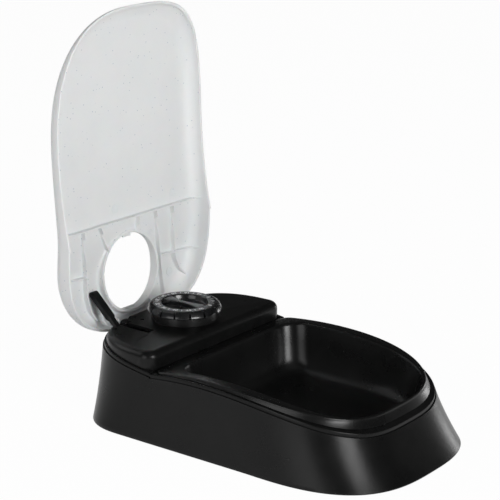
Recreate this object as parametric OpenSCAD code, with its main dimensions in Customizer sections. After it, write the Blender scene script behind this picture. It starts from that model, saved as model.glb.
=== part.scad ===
// Single-meal automatic pet feeder: flared base, lift-out bowl, dial timer and spring-opened lid.
// Lengths in millimetres. +X right, -Y towards the bowl's front, +Z up.
// Origin: middle of the footprint, on the floor. Drawn at rest with the lid open.

/* [Base] */
// Overall length, front to back
base_length = 240; // [230:1:250]
// Overall width at the widest part of the foot
base_width = 160; // [154:1:168]
// Width of the foot at the bowl
foot_width_front = 153; // [148:1:158]
// Wall of the base moulding
base_wall = 2.4; // [1.8:0.1:3]
// Height of the bowl's seat at its highest point
seat_height = 48.6; // [46:0.2:52]
// Radius of the seat's arch, seen from the side
seat_radius = 310; // [280:5:360]
// Where along the length the arch is highest
seat_apex_y = 5; // [0:1:10]
// Rise of the timer ledge for each millimetre towards the back
ledge_slope = 0.115; // [0.09:0.005:0.13]

/* [Bowl] */
// Highest point of the bowl's rim
rim_height = 51; // [50.4:0.2:53]
// Radius of the rim's arch, seen from the side
rim_radius = 333; // [300:1:380]
// Depth of the bowl below the top of its rim
bowl_depth = 35; // [28:1:38]
// Wall of the bowl
bowl_wall = 2; // [1.6:0.1:2.4]

/* [Timer cover] */
// Front edge of the timer cover
cover_front_y = 51; // [49:0.5:53]
// Height of the flat top of the timer cover
cover_top_z = 58.2; // [57:0.2:60]
// Wall of the timer cover
cover_wall = 2.2; // [1.8:0.1:2.6]
// Width of the ledge left around the cover
ledge_width = 2.2; // [1.6:0.1:3]
// Rounding of the cover's top edge
cover_round = 5; // [3:0.5:6]

/* [Dial] */
// Distance of the dial's axis behind the middle
dial_y = 81.5; // [80:0.5:83]
// Radius of the dial's grip skirt
dial_skirt_r = 25.5; // [24:0.1:26]
// Height of the top of the dial
dial_top_z = 69.4; // [68.6:0.2:71]
// Radius of the numbered ring
dial_ring_r = 22.2; // [20:0.1:23]
// Grooves round the grip skirt
dial_grooves = 15; // [9:1:24]
// Diameter of the dial's spindle
spindle_d = 6; // [5:0.5:8]

/* [Lid] */
// Height of the lid's outer face over the timer, when closed
lid_top_z = 67.1; // [66.6:0.1:68]
// Wall of the lid
lid_wall = 2.2; // [1.8:0.1:2.4]
// Wall of the lid's skirt
lid_skirt = 1.8; // [1.4:0.1:2]
// Height of the lid's outer face over the bowl, when closed
lid_front_z = 61.8; // [61.6:0.1:63]
// How far the lid reaches in front of the middle, when closed
lid_reach = 104.5; // [102:0.5:106]
// Radius of the hole that lets the dial through
lid_hole_r = 27.2; // [26.8:0.1:28]
// Angle between the closed lid and the open lid, in degrees
lid_open_angle = 94.5; // [80:0.5:100]
// Distance of the lid's hinge behind the middle
hinge_y = 115.5; // [114:0.1:116]
// Height of the lid's hinge
hinge_z = 48.5; // [47:0.1:49]
// Diameter of the hinge pins
hinge_pin_d = 3; // [2.4:0.1:3.4]
// Distance of each hinge lug from the middle
lug_x = 24; // [22:0.5:26]

/* [Lift arm] */
// Distance of the lift arm to the left of the middle
arm_x = 37; // [36:0.5:40]
// Width of the lift arm
arm_width = 6; // [4:0.2:6.4]
// Thickness of the lift arm
arm_thick = 4.4; // [3.6:0.1:4.8]
// Length of the arm from its pivot to the middle of its rounded tip
arm_length = 31; // [29:0.5:31]
// Distance of the arm's pivot behind the middle
arm_pivot_y = 108; // [106:0.5:109]
// Height of the arm's pivot
arm_pivot_z = 52.6; // [51:0.1:53]
// Angle of the arm above level, leaning back, when the lid is open
arm_rest_angle = 42; // [40:0.5:43]
// Diameter of the arm's pivot pin
arm_pin_d = 2.5; // [2:0.1:3]

/* [Timer movement] */
// Gear module
gear_module = 0.8; // [0.6:0.1:0.8]
// Teeth on the drive gear
drive_teeth = 48; // [40:1:52]
// Teeth on the idler's large wheel
idler_teeth = 36; // [30:1:40]
// Teeth on the idler's and the rotor's pinions
pinion_teeth = 12; // [10:1:14]
// Play between meshing tooth flanks, along the pitch circle
gear_backlash = 0.3; // [0.2:0.05:0.4]

/* [Battery] */
// Diameter of the battery cell
cell_d = 14.5; // [14:0.1:14.5]
// Length of the battery cell
cell_length = 50.5; // [49:0.1:51]

/* [Hidden] */
$fn = 48;

// Clearances
gap = 0.3;      // between pieces that move past each other
fit = 0.05;     // round a shaft in its bearing, all round
seat_gap = 0.1; // between pieces that sit on each other
cut = 1;        // how far a cutting tool reaches past a face

// Outlines seen from above: straight sides between two superellipses, the same number of points each
arc_steps = 22;
side_steps = 5;
top_half_width = 73.2;
top_front = 101;
top_rear = 118;
band_inset = 0.8;
band_height = 2.3;
flange_width = 7;
flange_slope = 0.6;
foot_front_y = -30;
foot_rear_y = 75;

function signed_power(v, p) = sign(v) * pow(abs(v), p);
function mix(a, b, t) = a + (b - a) * t;
function arc_points(centre_y, a, b, n, from, to, steps = arc_steps) = [
    for (i = [0:steps])
        let (t = from + (to - from) * i / steps)
        [a * signed_power(cos(t), 2 / n), centre_y + b * signed_power(sin(t), 2 / n)]];
function side_up(from, to) = [for (i = [1:side_steps]) mix(from, to, i / side_steps)];
function side_down(from, to) = [for (i = [side_steps:-1:1]) mix(from, to, i / side_steps)];
function mirrored(p) = [-p.x, p.y];
function outline(front, rear, front_steps_to) = concat(
    arc_points(front[0], front[1], front[2], front[3], 180, 360),
    side_up([front[1], front[0]], front_steps_to),
    arc_points(rear[0], rear[1], rear[2], rear[3], 0, 180),
    side_down([-front[1], front[0]], mirrored(front_steps_to)));

// Outline of the foot, drawn in by inset
function foot_outline(inset = 0) = outline(
    [foot_front_y, foot_width_front / 2 - inset, base_length / 2 + foot_front_y - inset, 2.9],
    [foot_rear_y, base_width / 2 - inset, base_length / 2 - foot_rear_y - inset, 2.6],
    [base_width / 2 - inset, foot_rear_y - 1]);
// Outline of the top edge of the base, and of the lid, drawn in by inset
function top_outline(inset = 0, front = top_front, width = top_half_width) = outline(
    [0, width - inset, front - inset, 3.1],
    [cover_front_y, width - inset, top_rear - cover_front_y - inset, 3],
    [width - inset, cover_front_y - 1]);

// Heights along the length
function arch_z(y, top, apex_y, radius) = top - pow(y - apex_y, 2) / (2 * radius);
function seat_z(y) = arch_z(y, seat_height, seat_apex_y, seat_radius);
ledge_front_z = seat_z(cover_front_y) + 0.8;
function ledge_z(y) = ledge_front_z + ledge_slope * (y - cover_front_y);
function base_top_z(y) = y < cover_front_y - 0.5 ? seat_z(y) : ledge_z(y);
function rim_z(y) = arch_z(y, rim_height, -3, rim_radius);

// A ring of points: a flat outline raised to the height that z gives for each point's y
function raised(plan, z) = [for (p = plan) [p.x, p.y, z(p.y)]];
function level(plan, z) = [for (p = plan) [p.x, p.y, z]];
function bridge(n, from, to) = [
    for (i = [0:n - 1])
        let (next = (i + 1) % n)
        each [[from + i, to + next, from + next], [from + i, to + i, to + next]]];

// A wall that closes on itself: each ring joins the next, and the last joins the first
module ring_solid(rings) {
    n = len(rings[0]);
    m = len(rings);
    polyhedron(
        points = [for (r = rings) each r],
        faces = [for (j = [0:m - 1]) each bridge(n, j * n, ((j + 1) % m) * n)],
        convexity = 8);
}
// A dish: rings from the point start, out, round the edge and back to the point finish
module dish_solid(start, rings, finish) {
    n = len(rings[0]);
    m = len(rings);
    last = (m - 1) * n;
    polyhedron(
        points = concat([for (r = rings) each r], [start, finish]),
        faces = concat(
            [for (j = [0:m - 2]) each bridge(n, j * n, (j + 1) * n)],
            [for (i = [0:n - 1]) [m * n, i, (i + 1) % n]],
            [for (i = [0:n - 1]) [m * n + 1, last + (i + 1) % n, last + i]]),
        convexity = 8);
}
// A flat outline made solid between two heights
module slab(plan, z_low, z_high) {
    translate([0, 0, z_low]) linear_extrude(z_high - z_low) polygon(plan);
}
// A plate of the given width along X, from an outline in Y and Z
module side_plate(x, width, points) {
    translate([x - width / 2, 0, 0]) rotate([90, 0, 90]) linear_extrude(width) polygon(points);
}
// A cylinder along X
module rod_x(x, y, z, r, length) {
    translate([x - length / 2, y, z]) rotate([0, 90, 0]) cylinder(r = r, h = length);
}
module rod_z(x, y, z_low, z_high, r) {
    translate([x, y, z_low]) cylinder(r = r, h = z_high - z_low);
}
module box(low, high) {
    translate(low) cube(high - low);
}
module both_sides() {
    children();
    mirror([1, 0, 0]) children();
}

// Side and back of the timer cover, which sits on the base inside the ledge
cover_power = 3;
cover_half = top_half_width - ledge_width;
cover_rear = top_rear - ledge_width;
function cover_half_at(y) = cover_half
    * pow(1 - pow((y - cover_front_y) / (cover_rear - cover_front_y), cover_power), 1 / cover_power);

// Base: the floor plate's levels, the posts for its screws and the notches for hinge and arm
plate_low = 3.2;
plate_high = 5.6;
pilot_r = 1.25;
screw_clear_r = 1.7;
screw_head_r = 2.6;
screw_head_h = 2;
post_r = 3.2;
wall_top_half = top_half_width - base_wall;
foot_r = 6.5;
foot_points = [[foot_width_front / 2 - 24.5, 42 - base_length / 2],
    [base_width / 2 - 20.2, min(base_length / 2, top_rear + 2) - 23.4]];
front_post = [min(wall_top_half - 1.8, foot_width_front / 2 - 7.5), -20];
rear_post = [min(wall_top_half - 4.8, base_width / 2 - 14), foot_points[1].y - 2 * foot_r + 0.4];
posts = [front_post, rear_post];
post_screw_length = 14;
lug_width = 6;
lug_notch = lug_width / 2 + gap + 0.3;
lug_r = 2.9;
hinge_boss_length = 5;
notch_half = 8;
arm_spring_r = 2.3;
spring_wire_r = 0.35;
cover_screw_y = [cover_front_y + 15, cover_rear - 21.3];
cover_screw_points = [[cover_half_at(cover_screw_y[0]) - 3.1, cover_screw_y[0]],
    [cover_half_at(cover_screw_y[1]) - 5, cover_screw_y[1]]];
cover_boss_r = 2.8;

function flared(t_inset, f_inset, z) = let (top = top_outline(t_inset), foot = foot_outline(f_inset)) [
    for (i = [0:len(top) - 1])
        let (t = z / (base_top_z(top[i].y) - band_height))
        mix(foot[i], top[i], t)];
wall_inset = base_wall;
rim_chamfer = 1;
flange_inset = band_inset + flange_width;
// Inner edge of the flange, squarer at the front to clear the bowl's corners
function flange_outline() = outline(
    [0, top_half_width - flange_inset, top_front - flange_inset + 0.8, 3.6],
    [cover_front_y, top_half_width - flange_inset, top_rear - cover_front_y - flange_inset, 3],
    [top_half_width - flange_inset, cover_front_y - 1]);

module base_wall_ring() {
    ring_solid([
        level(foot_outline(rim_chamfer), 0),
        level(flared(0, 0, rim_chamfer), rim_chamfer),
        raised(top_outline(), function (y) base_top_z(y) - band_height - 0.4),
        raised(top_outline(band_inset), function (y) base_top_z(y) - band_height),
        raised(top_outline(band_inset), function (y) base_top_z(y)),
        raised(flange_outline(), function (y) base_top_z(y)),
        raised(flange_outline(), function (y) base_top_z(y) - base_wall),
        raised(top_outline(wall_inset), function (y) base_top_z(y) - base_wall - flange_slope),
        level(foot_outline(wall_inset + 0.4), 0)]);
}
bar_front_y = cover_front_y - 5;
bar_rear_y = cover_front_y + 6;
panel_y = cover_front_y - 0.5;
module cross_bar() {
    side_plate(0, 2 * (wall_top_half + 0.6), [
        [bar_front_y, seat_z(bar_front_y) - base_wall],
        [panel_y, seat_z(panel_y) - base_wall],
        [bar_rear_y, seat_z(panel_y) - base_wall],
        [bar_rear_y, ledge_z(bar_rear_y)],
        [panel_y, ledge_z(panel_y)],
        [panel_y, seat_z(panel_y)],
        [bar_front_y, seat_z(bar_front_y)]]);
    panel_top = seat_z(panel_y) - 1;
    panel_foot_half = foot_width_front / 2 + 0.4;
    translate([0, panel_y + base_wall, 0]) rotate([90, 0, 0]) linear_extrude(base_wall)
        polygon([[-panel_foot_half, plate_high + seat_gap], [panel_foot_half, plate_high + seat_gap],
            [wall_top_half + 0.6, panel_top], [-wall_top_half - 0.6, panel_top]]);
}
module arm_notch() {
    box([-arm_x - notch_half, arm_pivot_y - 10, 40], [-arm_x + notch_half, arm_pivot_y + arm_spring_r + spring_wire_r + gap, 70]);
    box([-arm_x - slot_half, arm_pivot_y - 10, 40], [-arm_x + slot_half, arm_pivot_y + arm_hub_r + 0.5, 70]);
}
module hinge_bosses() {
    for (side = [-1, 1])
        rod_x(lug_x + side * (lug_notch + hinge_boss_length / 2), hinge_y, hinge_z, lug_r, hinge_boss_length);
}
// Keeps the bosses inside the back wall
module behind_wall_limit() {
    box([0, hinge_y - 6, hinge_z - 6], [lug_x * 2, top_rear - band_inset - 0.4, hinge_z + 6]);
}
module base_shell() {
    color("#1b1c1e") difference() {
        union() {
            difference() {
                union() {
                    base_wall_ring();
                    cross_bar();
                }
                both_sides() box([lug_x - lug_notch, hinge_y - 6.5, hinge_z - lug_r - 0.8],
                    [lug_x + lug_notch, top_rear + 6, hinge_z + 12]);
                arm_notch();
            }
            both_sides() intersection() {
                hinge_bosses();
                behind_wall_limit();
            }
            both_sides() for (p = posts) {
                rod_z(p.x, p.y, plate_high, base_top_z(p.y) - 1.2, post_r);
                box([p.x, p.y - 1, base_top_z(p.y) - 10], [wall_top_half + 0.6, p.y + 1, base_top_z(p.y) - 1.2]);
            }
        }
        both_sides() {
            rod_x(lug_x, hinge_y, hinge_z, hinge_pin_d / 2, 2 * (lug_notch + hinge_boss_length) - 2);
            for (p = posts) rod_z(p.x, p.y, plate_high - cut, plate_high + post_screw_length, pilot_r);
            for (p = cover_screw_points) rod_z(p.x, p.y, 40, 60, screw_clear_r);
        }
    }
}

// Floor plate, battery compartment and door
cell_y = 88;
door_gap = 0.3;
rail_low = 1;
door_low = 1.2;
door_high = plate_low - seat_gap * 2;
door_half_x = 31.1;
door_half_y = 11;
door_tongue = 2;
rail_x = door_half_x + door_gap + door_tongue;
door_travel = 16;
cell_z = door_high + door_gap + cell_d / 2;
cell_low_x = -23;
cell_body_length = cell_length - 1;
cell_tip_x = cell_low_x + cell_length;
contact_thick = 0.6;
holder_wall = 1.8;
holder_low_x = cell_low_x - 7;
holder_high_x = cell_tip_x + contact_thick;
holder_half_y = cell_d / 2 + 0.6;
holder_roof = cell_z + cell_d / 2 + 0.6;
foot_stem_r = 2;
plate_edge = wall_inset + gap + 0.2;

module bottom_plate() {
    color("#202124") difference() {
        union() {
            slab(flared(plate_edge, plate_edge, plate_high + 0.4), plate_low, plate_high);
            box([holder_low_x - holder_wall, cell_y - holder_half_y - holder_wall, plate_low],
                [holder_high_x + holder_wall, cell_y + holder_half_y + holder_wall, holder_roof + holder_wall]);
            both_sides() {
                box([rail_x, cell_y - door_half_y - 0.4, rail_low],
                    [rail_x + 3.6, cell_y + door_half_y + door_travel - 0.4, plate_low + 0.4]);
                box([rail_x - door_tongue, cell_y - door_half_y - 0.4, rail_low],
                    [rail_x + 0.4, cell_y + door_half_y + door_travel - 0.4, rail_low + 0.6]);
            }
        }
        box([holder_low_x, cell_y - holder_half_y, plate_low - cut],
            [holder_high_x, cell_y + holder_half_y, holder_roof]);
        both_sides() {
            for (p = posts) {
                rod_z(p.x, p.y, plate_low - cut, plate_high + cut, screw_clear_r);
                rod_z(p.x, p.y, plate_low - cut, plate_low + 1.2, screw_head_r + 0.4);
            }
            for (p = foot_points) rod_z(p.x, p.y, plate_low - cut, plate_high + cut, foot_stem_r + fit);
        }
    }
}
module battery_door() {
    color("#242528") difference() {
        union() {
            box([-door_half_x, cell_y - door_half_y, door_low], [door_half_x, cell_y + door_half_y, door_high]);
            box([-rail_x + door_gap, cell_y - door_half_y, rail_low + 0.6 + door_gap],
                [rail_x - door_gap, cell_y + door_half_y, door_high]);
        }
        for (i = [-2:2])
            box([-9, cell_y + 6 + 1.4 * i, door_low - cut], [9, cell_y + 6.7 + 1.4 * i, door_low + 0.4]);
    }
}
module rubber_feet() {
    color("#2c2c2c") both_sides() for (p = foot_points) {
        translate([p.x, p.y, 0]) rotate_extrude()
            polygon([[0, 0], [foot_r - 0.8, 0], [foot_r, 0.8], [foot_r, plate_low], [0, plate_low]]);
        rod_z(p.x, p.y, plate_low, plate_high - 0.4, foot_stem_r);
    }
}
// A pan-head screw standing on its head, with a cross in the head
module screw(head_r, head_h, length) {
    difference() {
        union() {
            cylinder(r = head_r, h = head_h);
            cylinder(r = pilot_r, h = head_h + length);
        }
        for (turn = [0, 90]) rotate(turn) box([-1.5, -0.35, -cut], [1.5, 0.35, head_h * 0.6]);
    }
}
module base_screws() {
    color("silver") both_sides() for (p = posts)
        translate([p.x, p.y, plate_low + 1.2 - screw_head_h]) screw(screw_head_r, screw_head_h, post_screw_length - 2);
}

// Bowl: a deep tray hung by its rim
bowl_rear_y = cover_front_y - 1.2;
lip_flare = 3;
lip_wall = 1.8;
bowl_half_width = cover_half - lip_flare / 6;
bowl_front = 93.7;
brim_width = 9;
brim_front = 1.7;
brim_rear = 11.8;
opening_half_width = bowl_half_width - brim_width;
opening_front = bowl_front - brim_front;
opening_rear_y = bowl_rear_y - brim_rear;
opening_centre_y = -10;

// Outline with a straight back edge, round corners there and a superelliptic front
function tray_outline(centre_y, half, front, power, rear_y, corner) = concat(
    arc_points(centre_y, half, front + centre_y, power, 180, 360),
    [for (i = [1:3]) mix([half, centre_y], [half, rear_y - corner], i / 4)],
    [for (t = [0:15:90]) [half - corner + corner * cos(t), rear_y - corner + corner * sin(t)]],
    [for (i = [1:3]) [mix(half - corner, corner - half, i / 4), rear_y]],
    [for (t = [90:15:180]) [corner - half + corner * cos(t), rear_y - corner + corner * sin(t)]],
    [for (i = [3:-1:1]) mix([-half, centre_y], [-half, rear_y - corner], i / 4)]);
function rim_outline(inset, flare = 0) = tray_outline(0, bowl_half_width - inset + flare / 6,
    bowl_front - inset + flare, 3.05, bowl_rear_y - inset, 8 - inset);
function well_outline(inset) = tray_outline(opening_centre_y, opening_half_width - inset,
    opening_front - inset, 3.3, opening_rear_y - inset, 16);
bowl_floor_z = rim_height - bowl_depth;

module bowl() {
    lip_foot = function (y) seat_z(y) + gap;
    inner = [[0, 1], [1.5, 0.8], [3.5, 0.5], [6, 0.22], [8.5, 0.1], [12.5, 0.03], [20, 0]];
    // Height of the well's wall, from the floor at share 0 to the opening's edge at share 1
    well_z = function (share) function (y) mix(bowl_floor_z, rim_z(y) - 0.9, share);
    // Underside of the rim, clear of the seat
    brim_root_z = function (y) max(rim_z(y) - 0.9 - bowl_wall, min(seat_z(y) + gap, rim_z(y) - 1.9));
    brim_under_z = function (y) max(rim_z(y) - bowl_wall, seat_z(y) + 2 * gap);
    under_z = function (share) function (y) mix(bowl_floor_z, rim_z(y) - 0.9, share) - bowl_wall;
    color("#1d1e20") dish_solid(
        [0, -22, bowl_floor_z - bowl_wall],
        concat(
            [for (k = [6:-1:1]) raised(well_outline(inner[k][0] - bowl_wall * (k > 4 ? 0.4 : 1)), under_z(inner[k][1]))],
            [raised(well_outline(-bowl_wall), brim_root_z),
            raised(rim_outline(lip_wall, 0), brim_under_z),
            raised(rim_outline(lip_wall, lip_flare), lip_foot),
            raised(rim_outline(0, lip_flare), lip_foot),
            raised(rim_outline(0), function (y) rim_z(y) - 0.7),
            raised(rim_outline(0.7), function (y) rim_z(y)),
            raised(well_outline(-0.6), function (y) rim_z(y) - 0.5)],
            [for (k = [0:6]) raised(well_outline(inner[k][0]), well_z(inner[k][1]))]),
        [0, -22, bowl_floor_z]);
}

// Timer cover
cover_corner = 9;
cover_middle_y = (cover_front_y + cover_rear) / 2;
function cover_outline(inset) = concat(
    [for (t = [180:18:270]) [-cover_half + cover_corner + (cover_corner - inset) * cos(t),
        cover_front_y + cover_corner + (cover_corner - inset) * sin(t)]],
    [for (i = [-2:2]) [i * (cover_half - cover_corner) / 3, cover_front_y + inset]],
    [for (t = [270:18:360]) [cover_half - cover_corner + (cover_corner - inset) * cos(t),
        cover_front_y + cover_corner + (cover_corner - inset) * sin(t)]],
    arc_points(cover_front_y, cover_half - inset, cover_rear - cover_front_y - inset, cover_power, 4, 176, 28));
// How far a rounded edge of radius r and height h has dropped at a distance in from the side
function round_drop(inset, r, h) = inset >= r ? 0 : h * (1 - sqrt(1 - pow(1 - inset / r, 2)));
function cover_round_at(y) = min(cover_round, cover_top_z - ledge_z(y) - 0.6);
slot_half = arm_width / 2 + gap * 2;
slot_front_y = arm_pivot_y - 26.5;
turret_r = dial_ring_r - 0.1;
turret_top = dial_top_z - 5.5;
hub_r = 5.5;
// Timer movement levels, from the cover down
case_hang = 8.6;
case_top = cover_top_z - cover_wall - case_hang;
case_split = case_top - 14;
case_low = case_split - 12;
case_wall = 1.8;
drive_pitch_r = gear_module * drive_teeth / 2;
pinion_pitch_r = gear_module * pinion_teeth / 2;
idler_pitch_r = gear_module * idler_teeth / 2;
idler_x = drive_pitch_r + pinion_pitch_r;
rotor_x = idler_x + idler_pitch_r + pinion_pitch_r;
case_half_y = drive_pitch_r + gear_module + 1 + case_wall;
case_left = -case_half_y;
case_right = rotor_x + 11.4;
ear_out = 2.8;
ear_r = 3.2;
ear_y = [dial_y - 15.5, dial_y + 2.5];
ear_points = [for (x = [case_left - ear_out, case_right + ear_out]) for (y = ear_y) [x, y]];
peg_points = [[-arm_x + 14.4, arm_pivot_y - 7.8], [-arm_x - 11.4, arm_pivot_y - 6.6]];
peg_r = 1.5;

module timer_cover() {
    skirt_z = function (y) ledge_z(y) + seat_gap;
    side = [0, 0.35, 1.2, 2.8];
    outer_z = function (inset) function (y) cover_top_z
        - round_drop(inset, cover_round_at(y), cover_round_at(y));
    inner_z = function (inset) function (y) cover_top_z - cover_wall
        - round_drop(inset, cover_round_at(y), min(cover_round_at(y) - cover_wall + 1,
            cover_top_z - cover_wall - skirt_z(y) - 0.6));
    color("#1d1e20") difference() {
        union() {
            dish_solid(
                [0, cover_middle_y, cover_top_z - cover_wall],
                concat(
                    [level(cover_outline(cover_wall + cover_round), cover_top_z - cover_wall)],
                    [for (k = [3:-1:0]) raised(cover_outline(cover_wall + side[k]), inner_z(side[k]))],
                    [raised(cover_outline(cover_wall), skirt_z), raised(cover_outline(0), skirt_z)],
                    [for (k = [0:3]) raised(cover_outline(side[k]), outer_z(side[k]))],
                    [level(cover_outline(cover_round), cover_top_z)]),
                [0, cover_middle_y, cover_top_z]);
            translate([0, dial_y, 0]) rotate_extrude($fn = 72) polygon([[turret_r - 2, cover_top_z - 1.1],
                [turret_r, cover_top_z - 1.1], [turret_r, turret_top - 0.5], [turret_r - 0.5, turret_top],
                [hub_r + 1, turret_top], [hub_r + 1, turret_top - 2], [turret_r - 2, turret_top - 2]]);
            both_sides() for (p = cover_screw_points)
                rod_z(p.x, p.y, ledge_z(p.y + cover_boss_r) + seat_gap, cover_top_z - cover_wall + 0.6, cover_boss_r);
            for (p = ear_points) rod_z(p.x, p.y, case_top, cover_top_z - cover_wall + 0.6, ear_r);
        }
        both_sides() {
            for (p = cover_screw_points) rod_z(p.x, p.y, 40, ledge_z(p.y) + 7, pilot_r);
            box([lug_x - lug_notch, hinge_y - 9, 40], [lug_x + lug_notch, top_rear + 6, 70]);
        }
        for (p = ear_points) rod_z(p.x, p.y, case_top - cut, case_top + 6, pilot_r);
        for (p = peg_points) rod_z(p.x, p.y, cover_top_z - cover_wall - cut, cover_top_z + cut, peg_r);
        box([-arm_x - slot_half, slot_front_y, 40], [-arm_x + slot_half, top_rear + 6, 70]);
        side_plate(-arm_x, 2 * slot_half, [[slot_front_y + 0.1, cover_top_z - 0.9],
            [slot_front_y + 0.1, cover_top_z + cut], [slot_front_y - 2.8, cover_top_z + cut],
            [slot_front_y - 2.8, cover_top_z + 0.05]]);
        box([-arm_x - cheek_outer - gap, arm_pivot_y - 5, 40], [-arm_x + cheek_outer + gap, top_rear + 6, 70]);
        rod_z(0, dial_y, 50, cover_top_z + cut, hub_r + 1);
    }
}
module cover_screws() {
    color("silver") both_sides() for (p = cover_screw_points)
        translate([p.x, p.y, ledge_z(p.y - screw_head_r) - base_wall - flange_slope - seat_gap - screw_head_h])
            screw(screw_head_r, screw_head_h, 8 + flange_slope);
}

// Dial
dial_skirt_low = dial_top_z - 5.1;
dial_cup_r = 15.6;
dial_cup_z = dial_top_z - 3.6;
socket_top = dial_skirt_low + 1;
notch_width = 10.4;
module dial_knob() {
    color("#17181a") translate([0, dial_y, 0]) difference() {
        union() {
            difference() {
                rotate_extrude($fn = 90) polygon([[0, dial_skirt_low - 3.4], [hub_r, dial_skirt_low - 3.4],
                    [hub_r, dial_skirt_low], [dial_skirt_r, dial_skirt_low], [dial_skirt_r, dial_skirt_low + 0.9],
                    [dial_ring_r + 0.3, dial_top_z - 0.9], [dial_ring_r - 0.5, dial_top_z],
                    [dial_cup_r + 0.5, dial_top_z], [dial_cup_r, dial_top_z - 0.5],
                    [dial_cup_r - 1, dial_cup_z], [0, dial_cup_z]]);
                for (i = [0:dial_grooves - 1]) rotate((i + 0.5) * 360 / dial_grooves)
                    box([-0.4, dial_ring_r + 0.6, dial_skirt_low - cut], [0.4, dial_skirt_r + 2, dial_top_z]);
            }
            difference() {
                box([-4.2, -dial_cup_r, dial_cup_z - 0.4], [4.2, dial_cup_r, dial_top_z - 0.3]);
                for (side = [-1, 1]) translate([side * 38.4, 0, dial_cup_z]) cylinder(r = 36, h = 10, $fn = 90);
            }
        }
        box([-notch_width / 2, -dial_skirt_r - 1, dial_skirt_low - cut], [notch_width / 2, -dial_ring_r - 0.15, dial_top_z + cut]);
        cylinder(r = spindle_d / 2, h = socket_top);
    }
}

// Timer movement. The spindle, gear, idler and rotor stand on one line along X.
floor_z = case_low + case_wall;
flange_z = case_split + 1.3;
gear_low = flange_z + 1 + gap;
gear_width = 3;
gear_high = gear_low + gear_width;
washer_low = gear_high + gap;
idler_low = gear_low - 4.4;
idler_wheel_high = idler_low + 3;
rotor_pinion_low = idler_low - 0.3;
idler_pin_r = 1.25;
rotor_shaft_r = 0.8;
magnet_r = 5.5;
stator_low = floor_z + 3.6;
coil_r = 4.6;
module dial_spindle() {
    color("ivory") translate([0, dial_y, 0]) {
        rod_z(0, 0, floor_z + gap, socket_top, spindle_d / 2);
        rod_z(0, 0, flange_z, flange_z + 1, spindle_d / 2 + 2);
    }
}
module clutch_washer() {
    color("#b8b8b8") translate([0, dial_y, 0]) difference() {
        rod_z(0, 0, washer_low, washer_low + 0.8, spindle_d / 2 + 2.6);
        rod_z(0, 0, washer_low - cut, washer_low + 2, spindle_d / 2);
    }
}
// Involute gear: half the angle of a tooth at radius r, for a pressure angle of 20 degrees
pressure_angle = 20;
function involute(a) = tan(a) * 180 / PI - a;
function tooth_half_angle(teeth, r) = let (
    pitch_r = gear_module * teeth / 2,
    base_r = pitch_r * cos(pressure_angle),
    thinned = gear_backlash / 4 / pitch_r * 180 / PI)
    90 / teeth - thinned + involute(pressure_angle) - involute(acos(min(1, base_r / max(r, base_r))));
function gear_outline(teeth, turn) = let (
    pitch_r = gear_module * teeth / 2,
    radii = [for (k = [0:4]) mix(pitch_r - 1.15 * gear_module, pitch_r + 0.85 * gear_module, k / 4)])
    [for (i = [0:teeth - 1]) let (middle = turn + i * 360 / teeth)
        each concat(
            [for (r = radii) let (a = middle - tooth_half_angle(teeth, r)) r * [cos(a), sin(a)]],
            [for (k = [4:-1:0]) let (a = middle + tooth_half_angle(teeth, radii[k])) radii[k] * [cos(a), sin(a)]])];
module gear(teeth, turn, low, high) {
    translate([0, 0, low]) linear_extrude(high - low) polygon(gear_outline(teeth, turn));
}
module drive_gear() {
    color("#e8e6df") translate([0, dial_y, 0]) difference() {
        gear(drive_teeth, 0, gear_low, gear_high);
        rod_z(0, 0, gear_low - cut, gear_high + cut, spindle_d / 2 + fit);
        for (i = [0:4]) rotate(36 + 72 * i) rod_z(10.5, 0, gear_low - cut, gear_high + cut, 3.4);
    }
}
module idler_gear() {
    color("#e8e6df") translate([idler_x, dial_y, 0]) difference() {
        union() {
            gear(pinion_teeth, 180 / pinion_teeth * (pinion_teeth % 2 == 0 ? 1 : 0), idler_wheel_high, gear_high + 0.4);
            gear(idler_teeth, 0, idler_low, idler_wheel_high);
        }
        rod_z(0, 0, idler_low - cut, gear_high + 2, idler_pin_r + fit);
    }
}
module idler_pin() {
    color("silver") rod_z(idler_x, dial_y, floor_z, case_top - case_wall - 0.4, idler_pin_r);
}
module motor_rotor() {
    color("#55585c") translate([rotor_x, dial_y, 0]) {
        gear(pinion_teeth, 180 / pinion_teeth * (pinion_teeth % 2 == 0 ? 1 : 0), rotor_pinion_low, idler_wheel_high + 0.4);
        rod_z(0, 0, stator_low - 0.6, rotor_pinion_low - 0.8, magnet_r);
        rod_z(0, 0, floor_z + gap, gear_low + 2, rotor_shaft_r);
    }
}
module motor_stator() {
    color("#9a9da0") difference() {
        union() {
            rod_z(rotor_x, dial_y, stator_low, stator_low + 2.4, magnet_r + 3.6);
            box([rotor_x - 1.5, dial_y - case_half_y + case_wall + 2, stator_low], [rotor_x + 1.5, dial_y - magnet_r - 1.4, stator_low + 2.4]);
        }
        rod_z(rotor_x, dial_y, stator_low - cut, stator_low + 4, magnet_r + 0.7);
    }
}
module motor_coil() {
    color("#b5713a") translate([rotor_x, dial_y - 10.4, stator_low + 1.2]) rotate([90, 0, 0]) difference() {
        union() {
            cylinder(r = coil_r - 0.8, h = 9);
            cylinder(r = coil_r, h = 0.8);
            translate([0, 0, 8.2]) cylinder(r = coil_r, h = 0.8);
        }
        box([-1.55, -1.25, -cut], [1.55, 1.25, 12]);
    }
}
board_length = 51;
board_width = 13.1;
board_low = [case_left + case_wall + 1, dial_y - case_half_y + case_wall + 1.4];
board_high = board_low + [board_length, board_width];
board_z = floor_z + 2;
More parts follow.
